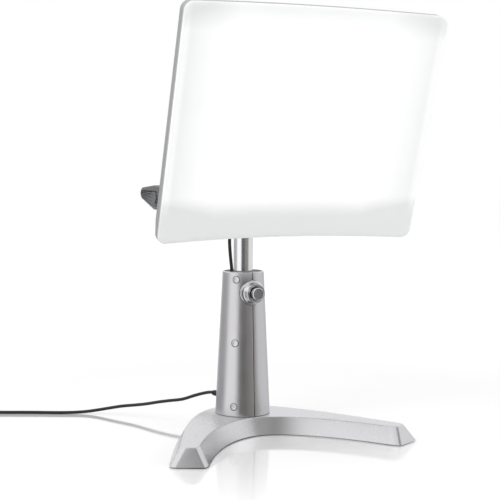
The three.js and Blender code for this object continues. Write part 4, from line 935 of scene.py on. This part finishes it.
def make_lamp(name, place, target, size, power):
    data = bpy.data.lights.new(name, "AREA")
    data.size = size * MM
    data.energy = power
    lamp = show(name, data)
    lamp.location = Vector(place) * MM
    way = (Vector(target) - Vector(place)).normalized()
    lamp.rotation_euler = way.to_track_quat("-Z", "Y").to_euler()
    lamp.visible_glossy = False
    lamp.visible_camera = False


make_floor()
make_world()
make_lamp("key_light", (-1500, -900, 1700), (0, 0, 250), 1200, 22)
make_lamp("fill_light", (1600, -1200, 1100), (0, 0, 250), 1200, 12)
make_lamp("top_light", (0, 300, 2200), (0, 0, 200), 1600, 16)


# Base: a horseshoe with sloping walls, open underneath for its plate
def heading(angle, length):
    return Vector((math.sin(math.radians(angle)), -math.cos(math.radians(angle)))) * length


def base_outline():
    outer_tip = Vector(OUTER_TIP)
    inner_tip = Vector(INNER_TIP)
    outer = bezier(Vector((0, BACK_REACH)), Vector((BACK_HANDLE, BACK_REACH)),
                   outer_tip - heading(OUTER_HEADING, OUTER_HANDLE), outer_tip, CURVE_STEPS)
    inner = bezier(inner_tip, inner_tip - heading(INNER_HEADING, INNER_HANDLE_TIP),
                   Vector((INNER_HANDLE, -INNER_REACH)), Vector((0, -INNER_REACH)), CURVE_STEPS)
    half = outer[:-1 - TIP_SKIP] + [outer_tip, inner_tip] + inner[1 + TIP_SKIP:]
    mirrored = [Vector((-p.x, p.y)) for p in reversed(half[1:-1])]
    corner = len(half) // 2
    corners = {len(half) * 2 - 3 - i for i in (corner - 1, corner)} | {corner - 2, corner - 1}
    return list(reversed(half + mirrored)), corners


# The outline moved outwards, with the corners of both tips bevelled alike at every height;
# an inner corner's bevel reaches further along the leg's wall than along its end
def base_ring(outline, corners, level, growth):
    points = grown(outline, growth)
    ring = []
    for i, point in enumerate(points):
        if i not in corners:
            ring.append(point)
            continue
        before, after = points[i - 1], points[(i + 1) % len(points)]
        reaches = (TIP_BEVEL, TIP_BEVEL)
        if abs(point.x) < (OUTER_TIP[0] + INNER_TIP[0]) / 2:
            wall_first = (i - 1) % len(points) not in corners
            reaches = (TIP_WALL_REACH, TIP_END_REACH) if wall_first else (TIP_END_REACH, TIP_WALL_REACH)
        ends = [point + (side - point).normalized() * reach for side, reach in zip((before, after), reaches)]
        ring += [Vector(p) for p in fillet([before, *ends, after], TIP_SOFT, TIP_STEPS)[1:-1]]
    return [Vector((p.x, p.y, level)) for p in ring]


def base_pairs(count):
    half = count // 2 + 1
    ties = [(i, half - 1 - i) for i in range(half // 2)]
    right = [(count - 1 - a, count - 1 - b) for a, b in ties]
    left = [((a - 1) % count, (b - 1) % count) for a, b in ties]
    return list(zip(right, right[1:])) + list(zip(left, left[1:]))


def make_base():
    outline, corners = base_outline()
    edge = BASE_TOP - BASE_BEVEL

    def wall(level, growth=0):
        return level, (edge - level) * BASE_FLARE / (edge - FOOT_PROUD) + growth

    profile = fillet([wall(FOOT_PROUD), (edge, 0), (BASE_TOP, -BASE_BEVEL),
                      (BASE_TOP, -BASE_BEVEL * 2)], BASE_SOFT, 4)
    foot = (FOOT_PROUD + 0.25, wall(FOOT_PROUD, -0.2)[1])
    profile[0:1] = [wall(PLATE_TOP + 1, -BASE_WALL), wall(FOOT_PROUD, -BASE_WALL),
                    wall(FOOT_PROUD, -0.8), foot, wall(FOOT_PROUD + 0.9)]
    rings = [base_ring(outline, corners, level, growth) for level, growth in profile]
    body = loft(rings, pairs=base_pairs(len(rings[0])))
    make_piece("base_horseshoe", [body], BASE_PAINT, "base", ["base_casting"], 40)


# Column: two halves that meet in a seam down the front and back, with screw caps on the left
CAP_WAY = compass(270 - CAP_TURN)


def half_ring(side, height, outer, inner):
    turn = SEAM_ROUND / outer
    first = math.asin(SEAM_GAP / 2 / outer)
    near = [(first + turn * c, outer - SEAM_ROUND * s) for c, s in quarter(4)]
    far = [(math.pi - angle, radius) for angle, radius in reversed(near)]
    start = first + turn
    outside = [(start + (math.pi - 2 * start) * i / COLUMN_STEPS, outer) for i in range(1, COLUMN_STEPS)]
    first = math.asin(SEAM_GAP / 2 / inner)
    inside = [(first + (math.pi - 2 * first) * i / COLUMN_STEPS, inner)
              for i in range(COLUMN_STEPS, -1, -2)]
    return [Vector((side * radius * math.sin(angle), -radius * math.cos(angle), height))
            for angle, radius in near + outside + far + inside]


def make_shells():
    levels = [(COLUMN_FOOT, -0.5), (COLUMN_FOOT + 0.5, 0)]
    levels += [(COLUMN_FOOT + (COLUMN_TOP - COLUMN_FOOT) * i / 12, 0) for i in range(1, 12)]
    levels += [(COLUMN_TOP - MOUTH_BEVEL * s, -MOUTH_BEVEL * c) for c, s in quarter(4)]
    holes = [[rod(CAP_RADIUS + CAP_ROOM, 12,
                  CAP_WAY * (column_radius(height) - COLUMN_WALL - 1) + UP * height, CAP_WAY, 64)]
             for height in CAP_HEIGHTS]
    holes.append([rod(RELIEF_RADIUS + CLEAR, 60, UP * RELIEF_HEIGHT, RELIEF_WAY, 64)])
    for name, side, cutters in (("left", -1, holes), ("right", 1, [])):
        rings = [half_ring(side, z, column_radius(z) + grow, column_radius(z) - COLUMN_WALL)
                 for z, grow in levels]
        shell = make_piece(f"column_{name}_half", [loft(rings)], SILVER, "base",
                           [f"column_shell_{name}"])
        carve(shell, [[lock_seat(128)], *cutters])


# Room for the lock's round flange, from its back outwards
def lock_seat(segments=48):
    back = FLANGE_BACK - CLEAR
    start = UP * LOCK_HEIGHT + FRONT * back
    return rod(FLANGE_RADIUS + SEAT_MARGIN, SEAT_REACH - back, start, FRONT, segments)


def make_caps():
    radius, depth = CAP_RADIUS, CAP_DEPTH
    profile = [(0, 0), (radius, 0), (radius, depth - 0.4), (radius - 0.5, depth),
               (radius - 1.6, depth - 0.05), (radius - 2.4, depth - 0.35), (0, depth - 0.35)]
    for number, height in enumerate(CAP_HEIGHTS, 1):
        start = CAP_WAY * (column_radius(height) - depth) + UP * height
        make_piece(f"screw_cap_{number}", [lathe(profile, start, CAP_WAY, 64, 0.2)], CAP_SILVER, "base",
                   [f"column_screw_cap_{number}"])


# A dark strip closes the seam from inside, front and back: painted shade, a black sheet where the gap
# between the halves is in shade
def make_seam_shade_strips():
    half = SEAM_GAP / 2 + 0.2
    for name, way in (("front", FRONT), ("back", BACK)):
        rings = []
        for height in (COLUMN_FOOT + 0.4, COLUMN_TOP - MOUTH_BEVEL - 0.6):
            outer = column_radius(height) - SEAM_SHADE_STRIP_DEPTH
            section = ((-half, -1.4), (half, -1.4), (half, -0.15), (half - 0.2, 0), (0.2 - half, 0),
                       (-half, -0.15))
            rings.append([RIGHT * x + way * (outer + y) + UP * height for x, y in section])
        strip = make_piece(f"column_seam_shade_{name}", [loft(rings)], BLACK, "base")
        if way == FRONT:
            carve(strip, [[lock_seat()]])


def make_bush():
    bore = POLE_RADIUS + RUNNING_GAP
    lip = BUSH_TOP - BUSH_LIP
    outer = column_radius(BUSH_TOP) - COLUMN_WALL - CLEAR
    profile = [(bore, BUSH_FOOT), (BUSH_BODY, BUSH_FOOT), (BUSH_BODY, lip), (outer, lip),
               (outer, BUSH_TOP), (bore, BUSH_TOP), (bore, BUSH_FOOT)]
    bush = make_piece("column_mouth_ring", [lathe(profile, ORIGIN, UP, 128, 0.5)], YOKE_GREY, "base",
                      ["column_top_bush"])
    carve(bush, [[rod(LEAD_RADIUS + 0.4, 30, Vector((-LEAD_SIDE - over, LEAD_BACK, BUSH_FOOT - 5)), UP)]
                 for over in (0, 0.5, 1)])


# Height lock
def make_lock():
    lock_at = UP * LOCK_HEIGHT
    bore = STEM_RADIUS + CLEAR
    cone = CONE_RADIUS
    collar = [
        (bore, FLANGE_BACK), (FLANGE_RADIUS, FLANGE_BACK), (FLANGE_RADIUS, FLANGE_FRONT),
        (cone + 2.2, FLANGE_FRONT + 0.6), (cone + 1.3, FLANGE_FRONT + 1.9), (cone, CONE_FRONT - 1.2),
        (cone - 0.5, CONE_FRONT - 0.9), (cone - 0.5, CONE_FRONT), (cone, CONE_FRONT + 0.3),
        (cone, RING_FRONT), (cone - 1.2, RING_FRONT), (cone - 1.2, RING_FRONT - 1.2),
        (STEP_RADIUS, RING_FRONT - 1.2), (LOCK_BORE, RING_FRONT - 2.4), (LOCK_BORE, FLANGE_BACK + 3),
        (bore, FLANGE_BACK + 3), (bore, FLANGE_BACK),
    ]
    make_piece("lock_housing", [lathe(collar, lock_at, FRONT, 128, 0.45)], LOCK_SILVER, "base",
               ["lock_collar"])
    inside = BUTTON_RADIUS - 1.6
    cap = [
        (inside, BUTTON_FRONT - 1.4), (BUTTON_RADIUS - 1.5, BUTTON_FRONT - 0.2),
        (BUTTON_RADIUS - 0.9, BUTTON_FRONT), (BUTTON_RADIUS, BUTTON_FRONT - 1.2),
        (BUTTON_RADIUS, BUTTON_BACK), (bore, BUTTON_BACK), (bore, BUTTON_BACK + 9),
        (inside, BUTTON_BACK + 9), (inside, BUTTON_FRONT - 1.4),
    ]
    make_piece("lock_button_rim", [lathe(cap, lock_at, FRONT, 128, 0.35)], LOCK_SILVER, "lock",
               ["lock_button"])
    face = [(0, BUTTON_FRONT - 2.5), (inside - 0.1, BUTTON_FRONT - 2.5), (inside - 0.1, BUTTON_FRONT - 1.3),
            (inside - 1, BUTTON_FRONT - 1.2), (0, BUTTON_FRONT - 1.9)]
    make_piece("lock_button_face", [lathe(face, lock_at, FRONT, 96, 0.3)], BUTTON_FACE, "lock")


# Coil spring between the housing's floor and the button; its fixed end is at the housing
def make_spring():
    low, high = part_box("lock_spring")
    free = low[1] / MM + SPRING_WIRE / 2
    fixed = high[1] / MM - SPRING_WIRE / 2
    steps = SPRING_TURNS * SPRING_STEPS
    flat = SPRING_STEPS * SPRING_FLAT
    rings = []
    for i in range(steps + 1):
        turn = 2 * math.pi * i / SPRING_STEPS
        out = Vector((math.cos(turn), 0, math.sin(turn)))
        share = min(max((i - flat) / (steps - 2 * flat), 0), 1)
        centre = UP * LOCK_HEIGHT + out * SPRING_RADIUS + BACK * (free + (fixed - free) * share)
        rings.append([centre + (out * math.cos(a) + BACK * math.sin(a)) * SPRING_WIRE / 2
                      for a in (2 * math.pi * k / 8 for k in range(8))])
    spring = make_piece("lock_return_spring", [loft(rings)], STEEL, "base", ["lock_spring"])
    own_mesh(spring)


def make_relief():
    outer_face = column_radius(RELIEF_HEIGHT - RELIEF_COLLAR) + CLEAR
    wall_inside = column_radius(RELIEF_HEIGHT + RELIEF_COLLAR) - COLUMN_WALL
    inner_face = math.sqrt(wall_inside ** 2 - RELIEF_COLLAR ** 2) - CLEAR
    start = outer_face + RELIEF_FLANGE
    profile = [(0, inner_face - RELIEF_FLANGE), (RELIEF_COLLAR, inner_face - RELIEF_FLANGE),
               (RELIEF_COLLAR, inner_face), (RELIEF_RADIUS, inner_face), (RELIEF_RADIUS, outer_face),
               (RELIEF_COLLAR, outer_face), (RELIEF_COLLAR, start)]
    pitch = (RELIEF_REACH - start) / (RELIEF_RINGS + 0.5)
    for i in range(RELIEF_RINGS + 1):
        radius = RELIEF_RADIUS + (RELIEF_TIP - RELIEF_RADIUS) * i / (RELIEF_RINGS + 0.5)
        core = max(radius - 1.3, CORD_RADIUS + 0.4)
        here = start + pitch * i
        profile += [(core, here + 0.05), (core, here + pitch * 0.3), (radius, here + pitch * 0.35),
                    (radius - 0.15, min(here + pitch * 0.95, RELIEF_REACH))]
    profile += [(RELIEF_TIP - 0.3, RELIEF_REACH), (0, RELIEF_REACH)]
    make_piece("cord_relief", [lathe(profile, UP * RELIEF_HEIGHT, RELIEF_WAY, 64, 0.25)], RUBBER,
               "base", ["strain_relief"])


# Pole, lead and gland
def make_pole():
    inner = POLE_RADIUS - POLE_WALL
    profile = [(inner, POLE_FOOT), (POLE_RADIUS, POLE_FOOT), (POLE_RADIUS, POLE_TOP),
               (inner, POLE_TOP), (inner, POLE_FOOT)]
    make_piece("chrome_pole", [lathe(profile, ORIGIN, UP, 128, 0.4)], CHROME, "pole",
               ["pole_tube"])
    line = smooth_line([Vector((-x, LEAD_BACK, z)) for x, z in LEAD_PLACES], 8)
    make_line("head_lead", line, LEAD_RADIUS, 5, "pole", ["lead_cable"])
    groove = GLAND_RADIUS - 0.6
    profile = [(0, 0), (3.3, 0), (3.8, 1), (GLAND_RADIUS, 4), (GLAND_RADIUS, 5.4), (groove, 5.7),
               (groove, 6.4), (GLAND_RADIUS, 6.7), (GLAND_RADIUS, GLAND_LENGTH), (0, GLAND_LENGTH)]
    place = Vector((-LEAD_TOP_SIDE, LEAD_BACK, GLAND_FOOT))
    make_piece("lead_clamp", [lathe(profile, place, UP, 64, 0.25)], BLACK, "pole",
               ["lead_gland"])


# Yoke: one bar from arm to arm through the hub, as places, ways and half thicknesses
def yoke_stations():
    arm = ARM_INSIDE + ARM_THICKNESS / 2
    thin = ARM_THICKNESS / 2
    ahead = math.sqrt((ARM_HEIGHT / 2) ** 2 - (BAR_HEIGHT / 2) ** 2) - 1
    stations = [(Vector((arm, -PIVOT_AHEAD - ahead)), Vector((0, 1)), thin),
                (Vector((arm, (ARM_BACK - PIVOT_AHEAD) / 2)), Vector((0, 1)), thin)]
    line = bezier(Vector((arm, ARM_BACK)), Vector((arm, ARM_BACK + CROSS_SIDE_HANDLE)),
                  Vector((CROSS_HUB_HANDLE, 0)), Vector((0, 0)), YOKE_STEPS)
    ways = [(after - before).normalized() for before, after in zip(line, line[2:])]
    for i, (spot, way) in enumerate(zip(line, [Vector((0, 1)), *ways, Vector((-1, 0))])):
        thick = ARM_THICKNESS + (CROSS_THICKNESS - ARM_THICKNESS) * i / YOKE_STEPS
        stations.append((spot, way, thick / 2))
    mirrored = [(Vector((-spot.x, spot.y)), Vector((way.x, -way.y)), thick)
                for spot, way, thick in reversed(stations[:-1])]
    return stations + mirrored


def make_yoke():
    rings = []
    for spot, way, thick in yoke_stations():
        rings.append([Vector((spot.x + way.y * p.x, spot.y - way.x * p.x, PIVOT_HEIGHT + p.y))
                      for p in round_rect(thick, BAR_HEIGHT / 2, 1.8, 4)])
    socket = POLE_RADIUS + CLEAR
    hub = [(0, POLE_TOP + CLEAR), (socket, POLE_TOP + CLEAR), (socket, HUB_FOOT),
           (HUB_RADIUS - 1.5, HUB_FOOT), (HUB_RADIUS, HUB_FOOT + 1.5), (HUB_RADIUS, HUB_TOP - 4),
           (HUB_RADIUS - 4, HUB_TOP), (0, HUB_TOP)]
    lug = [(0, 0), (7, 0), (8, 1), (8, 15), (6, 17), (0, 17)]
    boss = [(0, 0), (ARM_HEIGHT / 2, 0), (ARM_HEIGHT / 2, ARM_THICKNESS), (0, ARM_THICKNESS)]
    shapes = [loft(rings), lathe(hub, ORIGIN, UP, 96, 0.8),
              lathe(lug, Vector((-LEAD_TOP_SIDE, LEAD_BACK, HUB_FOOT)), UP, 48, 0.5)]
    shapes += [lathe(boss, PIVOT + way * ARM_INSIDE, way, 96, 1.2) for way in (LEFT, RIGHT)]
    make_piece("yoke_bracket", shapes, YOKE_GREY, "pole", ["tilt_yoke"])


# Clamp levers: a round hub and a ribbed wing that narrows to its tip
def lever_edges(along):
    tip = Vector((LEVER_BACK, LEVER_RISE))
    swing = math.atan2(LEVER_RISE, LEVER_BACK)
    spread = math.acos((LEVER_HUB - LEVER_TIP_RADIUS) / tip.length)
    edges = []
    for sign in (1, -1):
        angle = swing + sign * spread
        way = Vector((math.cos(angle), math.sin(angle)))
        start = way * LEVER_HUB
        end = tip + way * LEVER_TIP_RADIUS
        if along < start.x:
            edges.append(sign * math.sqrt(LEVER_HUB ** 2 - along ** 2))
        elif along > end.x:
            past = along - LEVER_BACK
            edges.append(LEVER_RISE + sign * math.sqrt(max(LEVER_TIP_RADIUS ** 2 - past ** 2, 0.01)))
        else:
            edges.append(start.y + (end.y - start.y) * (along - start.x) / (end.x - start.x))
    return edges


# Depth of the outer face below the lever's width: ribs that fan out from the tip, a groove, a land
def lever_relief(share, height, along):
    strength = min(1, height / 18) * min(1, max(0, (along + LEVER_HUB) / 10))
    if share > LEVER_LAND:
        past = min(1, (share - LEVER_LAND) / 0.05)
        return LEVER_GROOVE * strength * (0.5 + 0.5 * math.cos(math.pi * past))
    wave = 0.5 - 0.5 * math.cos(2 * math.pi * (LEVER_RIBS - 0.5) * share / LEVER_LAND)
    close = min(1, max(0, (share / LEVER_LAND - 0.9) / 0.1))
    return strength * max(LEVER_RIB_PROUD * wave ** 0.7, LEVER_GROOVE * close)


# A section across the lever, as pairs of outward and upward distances
def lever_section(along):
    top, bottom = lever_edges(along)
    share = min(max(along / LEVER_END, 0), 1)
    width = LEVER_WIDTH + (LEVER_TIP_WIDTH - LEVER_WIDTH) * share
    height = top - bottom
    edge = min(1.3, height * 0.3)
    foot = min(0.6, height * 0.2)
    rounding = quarter(4)[1:-1]
    section = [(foot, bottom), (width - edge, bottom)]
    section += [(width - edge * s, bottom + edge * c) for c, s in rounding]
    for i in range(LEVER_STEPS + 1):
        v = i / LEVER_STEPS
        section.append((width - lever_relief(v, height, along), bottom + edge + (height - 2 * edge) * v))
    section += [(width - edge * c, top - edge * s) for c, s in rounding]
    return section + [(width - edge, top), (foot, top), (0, top - foot), (0, bottom + foot)]


def make_levers():
    whole = LEVER_END + LEVER_HUB
    stations = [whole / 2 * (1 - math.cos(math.pi * i / LEVER_STATIONS)) - LEVER_HUB
                for i in range(1, LEVER_STATIONS)]
    radius, proud = LEVER_CAP_RADIUS, LEVER_WIDTH + LEVER_CAP
    cap = [(0, 2), (radius, 2), (radius, proud - 0.4), (radius - 0.8, proud), (radius - 2, proud),
           (radius - 2.6, proud - 0.6), (0, proud - 0.6)]
    washer = [(BOLT_ROOM, 0), (WASHER_RADIUS, 0), (WASHER_RADIUS, 3.4), (BOLT_ROOM, 3.4), (BOLT_ROOM, 0)]
    for name, way in (("left", LEFT), ("right", RIGHT)):
        rings = [[PIVOT + way * (LEVER_INSIDE + out) + BACK * along + UP * rise
                  for out, rise in lever_section(along)] for along in stations]
        shapes = [loft(rings), lathe(cap, PIVOT + way * LEVER_INSIDE, way, 96, 0.3)]
        make_piece(f"clamp_lever_{name}", shapes, LEVER_GREY, f"lever_{name}",
                   [f"tilt_lever_{name}"])
        start = PIVOT + way * (BULGE_HALF_WIDTH + CLEAR)
        make_piece(f"pivot_washer_{name}", [lathe(washer, start, way, 80, 0.4)], BLACK, "head",
                   [f"friction_washer_{name}"])


# Panel: outlines are rounded rectangles, bowed about the panel's upright middle line
def bow(x):
    return BOW_DEPTH * (1 - (x / PANEL_HALF_WIDTH) ** 2)


def panel_ring(half_width, top, bottom, corner, depth, bowed=1.0):
    stations = [(-half_width + corner * c, corner * s) for c, s in quarter(10)]
    straight = half_width - corner
    stations += [(straight * (2 * i / PANEL_STEPS - 1), 0) for i in range(1, PANEL_STEPS)]
    stations += [(-x, inset) for x, inset in reversed(stations[:11])]
    lower = [(x, bottom + inset) for x, inset in stations]
    upper = [(x, top - inset) for x, inset in reversed(stations)]
    return [on_head((x, depth + bowed * bow(x), z)) for x, z in lower + upper]


def rim_ring(depth, inset, raised=0.0):
    return panel_ring(PANEL_HALF_WIDTH - inset, PANEL_HALF_HEIGHT - inset,
                      -PANEL_HALF_HEIGHT + inset + raised, max(PANEL_CORNER - inset, 1.5), depth)


def bulge_ring(depth, inset, bowed=0):
    return panel_ring(BULGE_HALF_WIDTH - inset, BULGE_TOP - inset, BULGE_BOTTOM + inset,
                      max(BULGE_CORNER - inset * 0.3, 2), depth, bowed)


def panel_loft(ring, layers):
    rings = [ring(*layer) for layer in layers]
    return loft(rings, pairs=facing(len(rings[0])))


def make_cover():
    layers = [(0, COVER_ROLL + 6)]
    layers += [(COVER_ROLL_DEPTH * c, COVER_ROLL * s) for c, s in quarter(12)]
    layers += [(COVER_DEPTH - 0.4, 0), (COVER_DEPTH - 0.1, 0.1), (COVER_DEPTH, 0.4),
               (COVER_DEPTH, COVER_RIM), (COVER_DEPTH - 1.5, COVER_RIM)]
    cover = make_piece("lit_cover", [panel_loft(rim_ring, layers)], OPAL, "head", ["front_cover"],
                       40)
    mesh = cover.data
    mesh.materials.append(COVER_SIDE_PAINTED_SHADE)
    layer = mesh.uv_layers.new(name="panel")
    undo = HEAD_TURN.transposed()
    for loop in mesh.loops:
        spot = undo @ (mesh.vertices[loop.vertex_index].co / MM - HEAD_PLACE)
        layer.data[loop.index].uv = (spot.x, spot.z)
    for polygon in mesh.polygons:
        # Faces behind the rolled edge, the side wall and rim, take the grey of painted shade in place of the
        # opal white
        spot = undo @ (polygon.center / MM - HEAD_PLACE)
        polygon.material_index = int(spot.y - bow(spot.x) > COVER_ROLL_DEPTH - 0.1)


ON_SWITCH = on_panel(SWITCH_SIDE, 0, SWITCH_UP)


def make_housing():
    start = COVER_DEPTH + CLEAR
    taper = PANEL_DEPTH - LOWER_TAPER_DEPTH
    layers = [(start, HOUSING_INSET + 1.2), (start, HOUSING_INSET + 0.5),
              (start + 0.15, HOUSING_INSET + 0.1), (start + 0.5, HOUSING_INSET), (taper, HOUSING_INSET)]
    for c, s in quarter(8)[1:]:
        depth = PANEL_DEPTH - REAR_EDGE * s
        fall = LOWER_TAPER * max((depth - taper) / LOWER_TAPER_DEPTH, 0)
        layers.append((depth, HOUSING_INSET + REAR_EDGE * c, fall - REAR_EDGE * c))
    housing = make_piece("housing_back", [panel_loft(rim_ring, layers)], HOUSING, "head",
                         ["rear_housing"])
    layers = [(PANEL_DEPTH - 3, 0, 1)]
    layers += [(BULGE_DEPTH - BULGE_EDGE * s, BULGE_EDGE * c) for c, s in quarter(8)]
    layers.append((BULGE_DEPTH, BULGE_EDGE + 6))
    carve(housing, [[panel_loft(bulge_ring, layers)]], "UNION")
    inner = HOUSING_WALL + 2
    inside = [(start - 4, inner, 1), (PANEL_DEPTH, inner, 1), (BULGE_DEPTH - BULGE_EDGE, inner),
              (BULGE_DEPTH - HOUSING_WALL, HOUSING_WALL + 8)]
    slot_outline = round_rect(VENT_WIDTH / 2, VENT_HEIGHT / 2, VENT_WIDTH * 0.48, 5)
    slot_levels = [(BULGE_DEPTH - 6, 0), (BULGE_DEPTH - 0.6, 0), (BULGE_DEPTH + 0.6, 1.2)]
    vents = []
    for level in VENT_LEVELS:
        for i in range(VENT_COUNT):
            place = on_panel((i - (VENT_COUNT - 1) / 2) * VENT_PITCH, 0, level)
            vents.append(slab(slot_outline, slot_levels, place))
    room = SWITCH_WALL + CLEAR
    opening = round_rect(SWITCH_HALF_WIDTH + room, SWITCH_HALF_HEIGHT + room, 0.5, 3)
    cutters = [[panel_loft(bulge_ring, inside)], vents,
               [slab(opening, [(BULGE_DEPTH - 8, 0), (BULGE_DEPTH + 5, 0)], ON_SWITCH)]]
    for x, z in COVER_SCREWS:
        depth = PANEL_DEPTH - HOUSING_WALL / 2 + bow(x)
        cutters.append([rod(SCREW_HEAD + CLEAR, 20, on_head((x, depth, z)), HEAD_BACK)])
    hole = on_head((-BULGE_HALF_WIDTH - 5, PIVOT_DEPTH, PIVOT_RISE))
    cutters.append([rod(BOLT_ROOM, 2 * BULGE_HALF_WIDTH + 10, hole, RIGHT)])
    carve(housing, cutters)


def make_cover_screws():
    profile = [(0, -6), (1.6, -6), (1.6, 0), (SCREW_HEAD, 0), (SCREW_HEAD, 0.9), (2.7, 1.6),
               (1.4, 1.95), (0, 2)]
    for number, (x, z) in enumerate(COVER_SCREWS, 1):
        place = x, PANEL_DEPTH - HOUSING_WALL / 2 + bow(x) + CLEAR, z
        screw = make_piece(f"back_screw_{number}", [lathe(profile, on_head(place), HEAD_BACK, 48, 0.15)],
                           STEEL, "head", [f"cover_screw_{number}"])
        carve(screw, [[slab(round_rect(wide, high, 0.15, 2), [(0.7, -0.1), (4, 0.1)], on_panel(*place))]
                      for wide, high in ((1.9, 0.42), (0.42, 1.9))])


def make_switch():
    foot = BULGE_DEPTH + CLEAR
    front = foot + SWITCH_PROUD
    wide = SWITCH_HALF_WIDTH + SWITCH_WALL
    high = SWITCH_HALF_HEIGHT + SWITCH_WALL
    bezel = slab(round_rect(wide + SWITCH_BEZEL, high + SWITCH_BEZEL, 2), edged(foot, front, 0.6), ON_SWITCH)
    body = slab(round_rect(wide, high, 0.5), [(BULGE_DEPTH - 11, 0), (foot + 0.5, 0)], ON_SWITCH)
    opening = slab(round_rect(SWITCH_HALF_WIDTH, SWITCH_HALF_HEIGHT, 0.6),
                   [(BULGE_DEPTH - 9, 0), (front - 0.5, 0), (front + 0.5, 0.9)], ON_SWITCH)
    holder = make_piece("switch_bezel", [bezel], BLACK, "head", ["switch_frame"])
    carve(holder, [[body]], "UNION")
    carve(holder, [[opening]])
    tilt = HEAD_TURN @ Euler((math.radians(-SWITCH_TILT), 0, 0)).to_matrix()
    axis = on_head((SWITCH_SIDE, front - ROCKER_AXIS, SWITCH_UP))
    on_rocker = placed(axis, RIGHT, tilt @ UP, tilt @ BACK)
    half = SWITCH_HALF_WIDTH - CLEAR
    profile = [(-5, -4), (0.8, -9.5), (4.1, -9.5), (4.4, -9.2), (3.85, -5), (3.4, 0), (3.85, 5),
               (4.4, 9.2), (4.1, 9.5), (0.8, 9.5), (-5, 4)]
    ends = [(-half, -0.3), (-half + 0.1, -0.05), (-half + 0.4, 0), (half - 0.4, 0), (half - 0.1, -0.05),
            (half, -0.3)]
    outline = [Vector(p) for p in reversed(profile)]
    rings = [[on_rocker(Vector((x, p.y, p.x))) for p in grown(outline, growth)] for x, growth in ends]
    make_piece("rocker_cap", [loft(rings)], BLACK, "rocker", ["switch_rocker"], 25)

    # The marks stand on the sloping ends of the rocker, a bar above and a ring below
    def on_slope(x, rise, level, side):
        return on_rocker(Vector((x, rise + side * MARK_RISE, level + side * rise * MARK_SLOPE)))

    bar = slab(round_rect(0.4, 1.7, 0.3, 3), [(3.75, 0), (4.15, 0)],
               lambda spot: on_slope(spot.x, spot.y, spot.z, 1))
    angles = [2 * math.pi * i / 32 for i in range(32)]
    rings = [[on_slope(radius * math.cos(a), radius * math.sin(a), level, -1) for a in angles]
             for radius, level in ((1.3, 3.7), (2.0, 3.7), (2.0, 4.12), (1.3, 4.12), (1.3, 3.7))]
    make_piece("rocker_marks", [bar, loft(rings, caps=False)], MARK_WHITE, "rocker")


for make in (make_base, make_shells, make_caps, make_seam_shade_strips, make_bush, make_lock, make_spring,
             make_relief, make_pole, make_yoke, make_levers, make_cover, make_housing,
             make_cover_screws, make_switch):
    make()

# Materials of the CAD nodes that stay as they are
KEPT = (
    (STEEL, ("base_plate", "base_plate_screw_1", "base_plate_screw_2", "base_plate_screw_3",
             "column_guide_tube", "column_screw_1", "column_screw_2", "column_screw_3", "lock_slider",
             "yoke_set_screw", "ballast", "pivot_bolt_left", "pivot_bolt_right")),
    (FOOT_RUBBER, ("base_foot_1", "base_foot_2", "base_foot_3", "base_foot_4", "base_foot_5")),
    (BLACK, ("column_guide_sleeve", "pole_foot_bush")),
    (TRAY, ("reflector_tray",)),
    (TUBE_GLASS, ("lamp_1", "lamp_2", "lamp_3")),
    (WHITE, ("lamp_holder_1", "lamp_holder_2", "lamp_holder_3")),
)
for material, names in KEPT:
    for name in names:
        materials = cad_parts[name].data.materials
        materials.clear()
        materials.append(material)
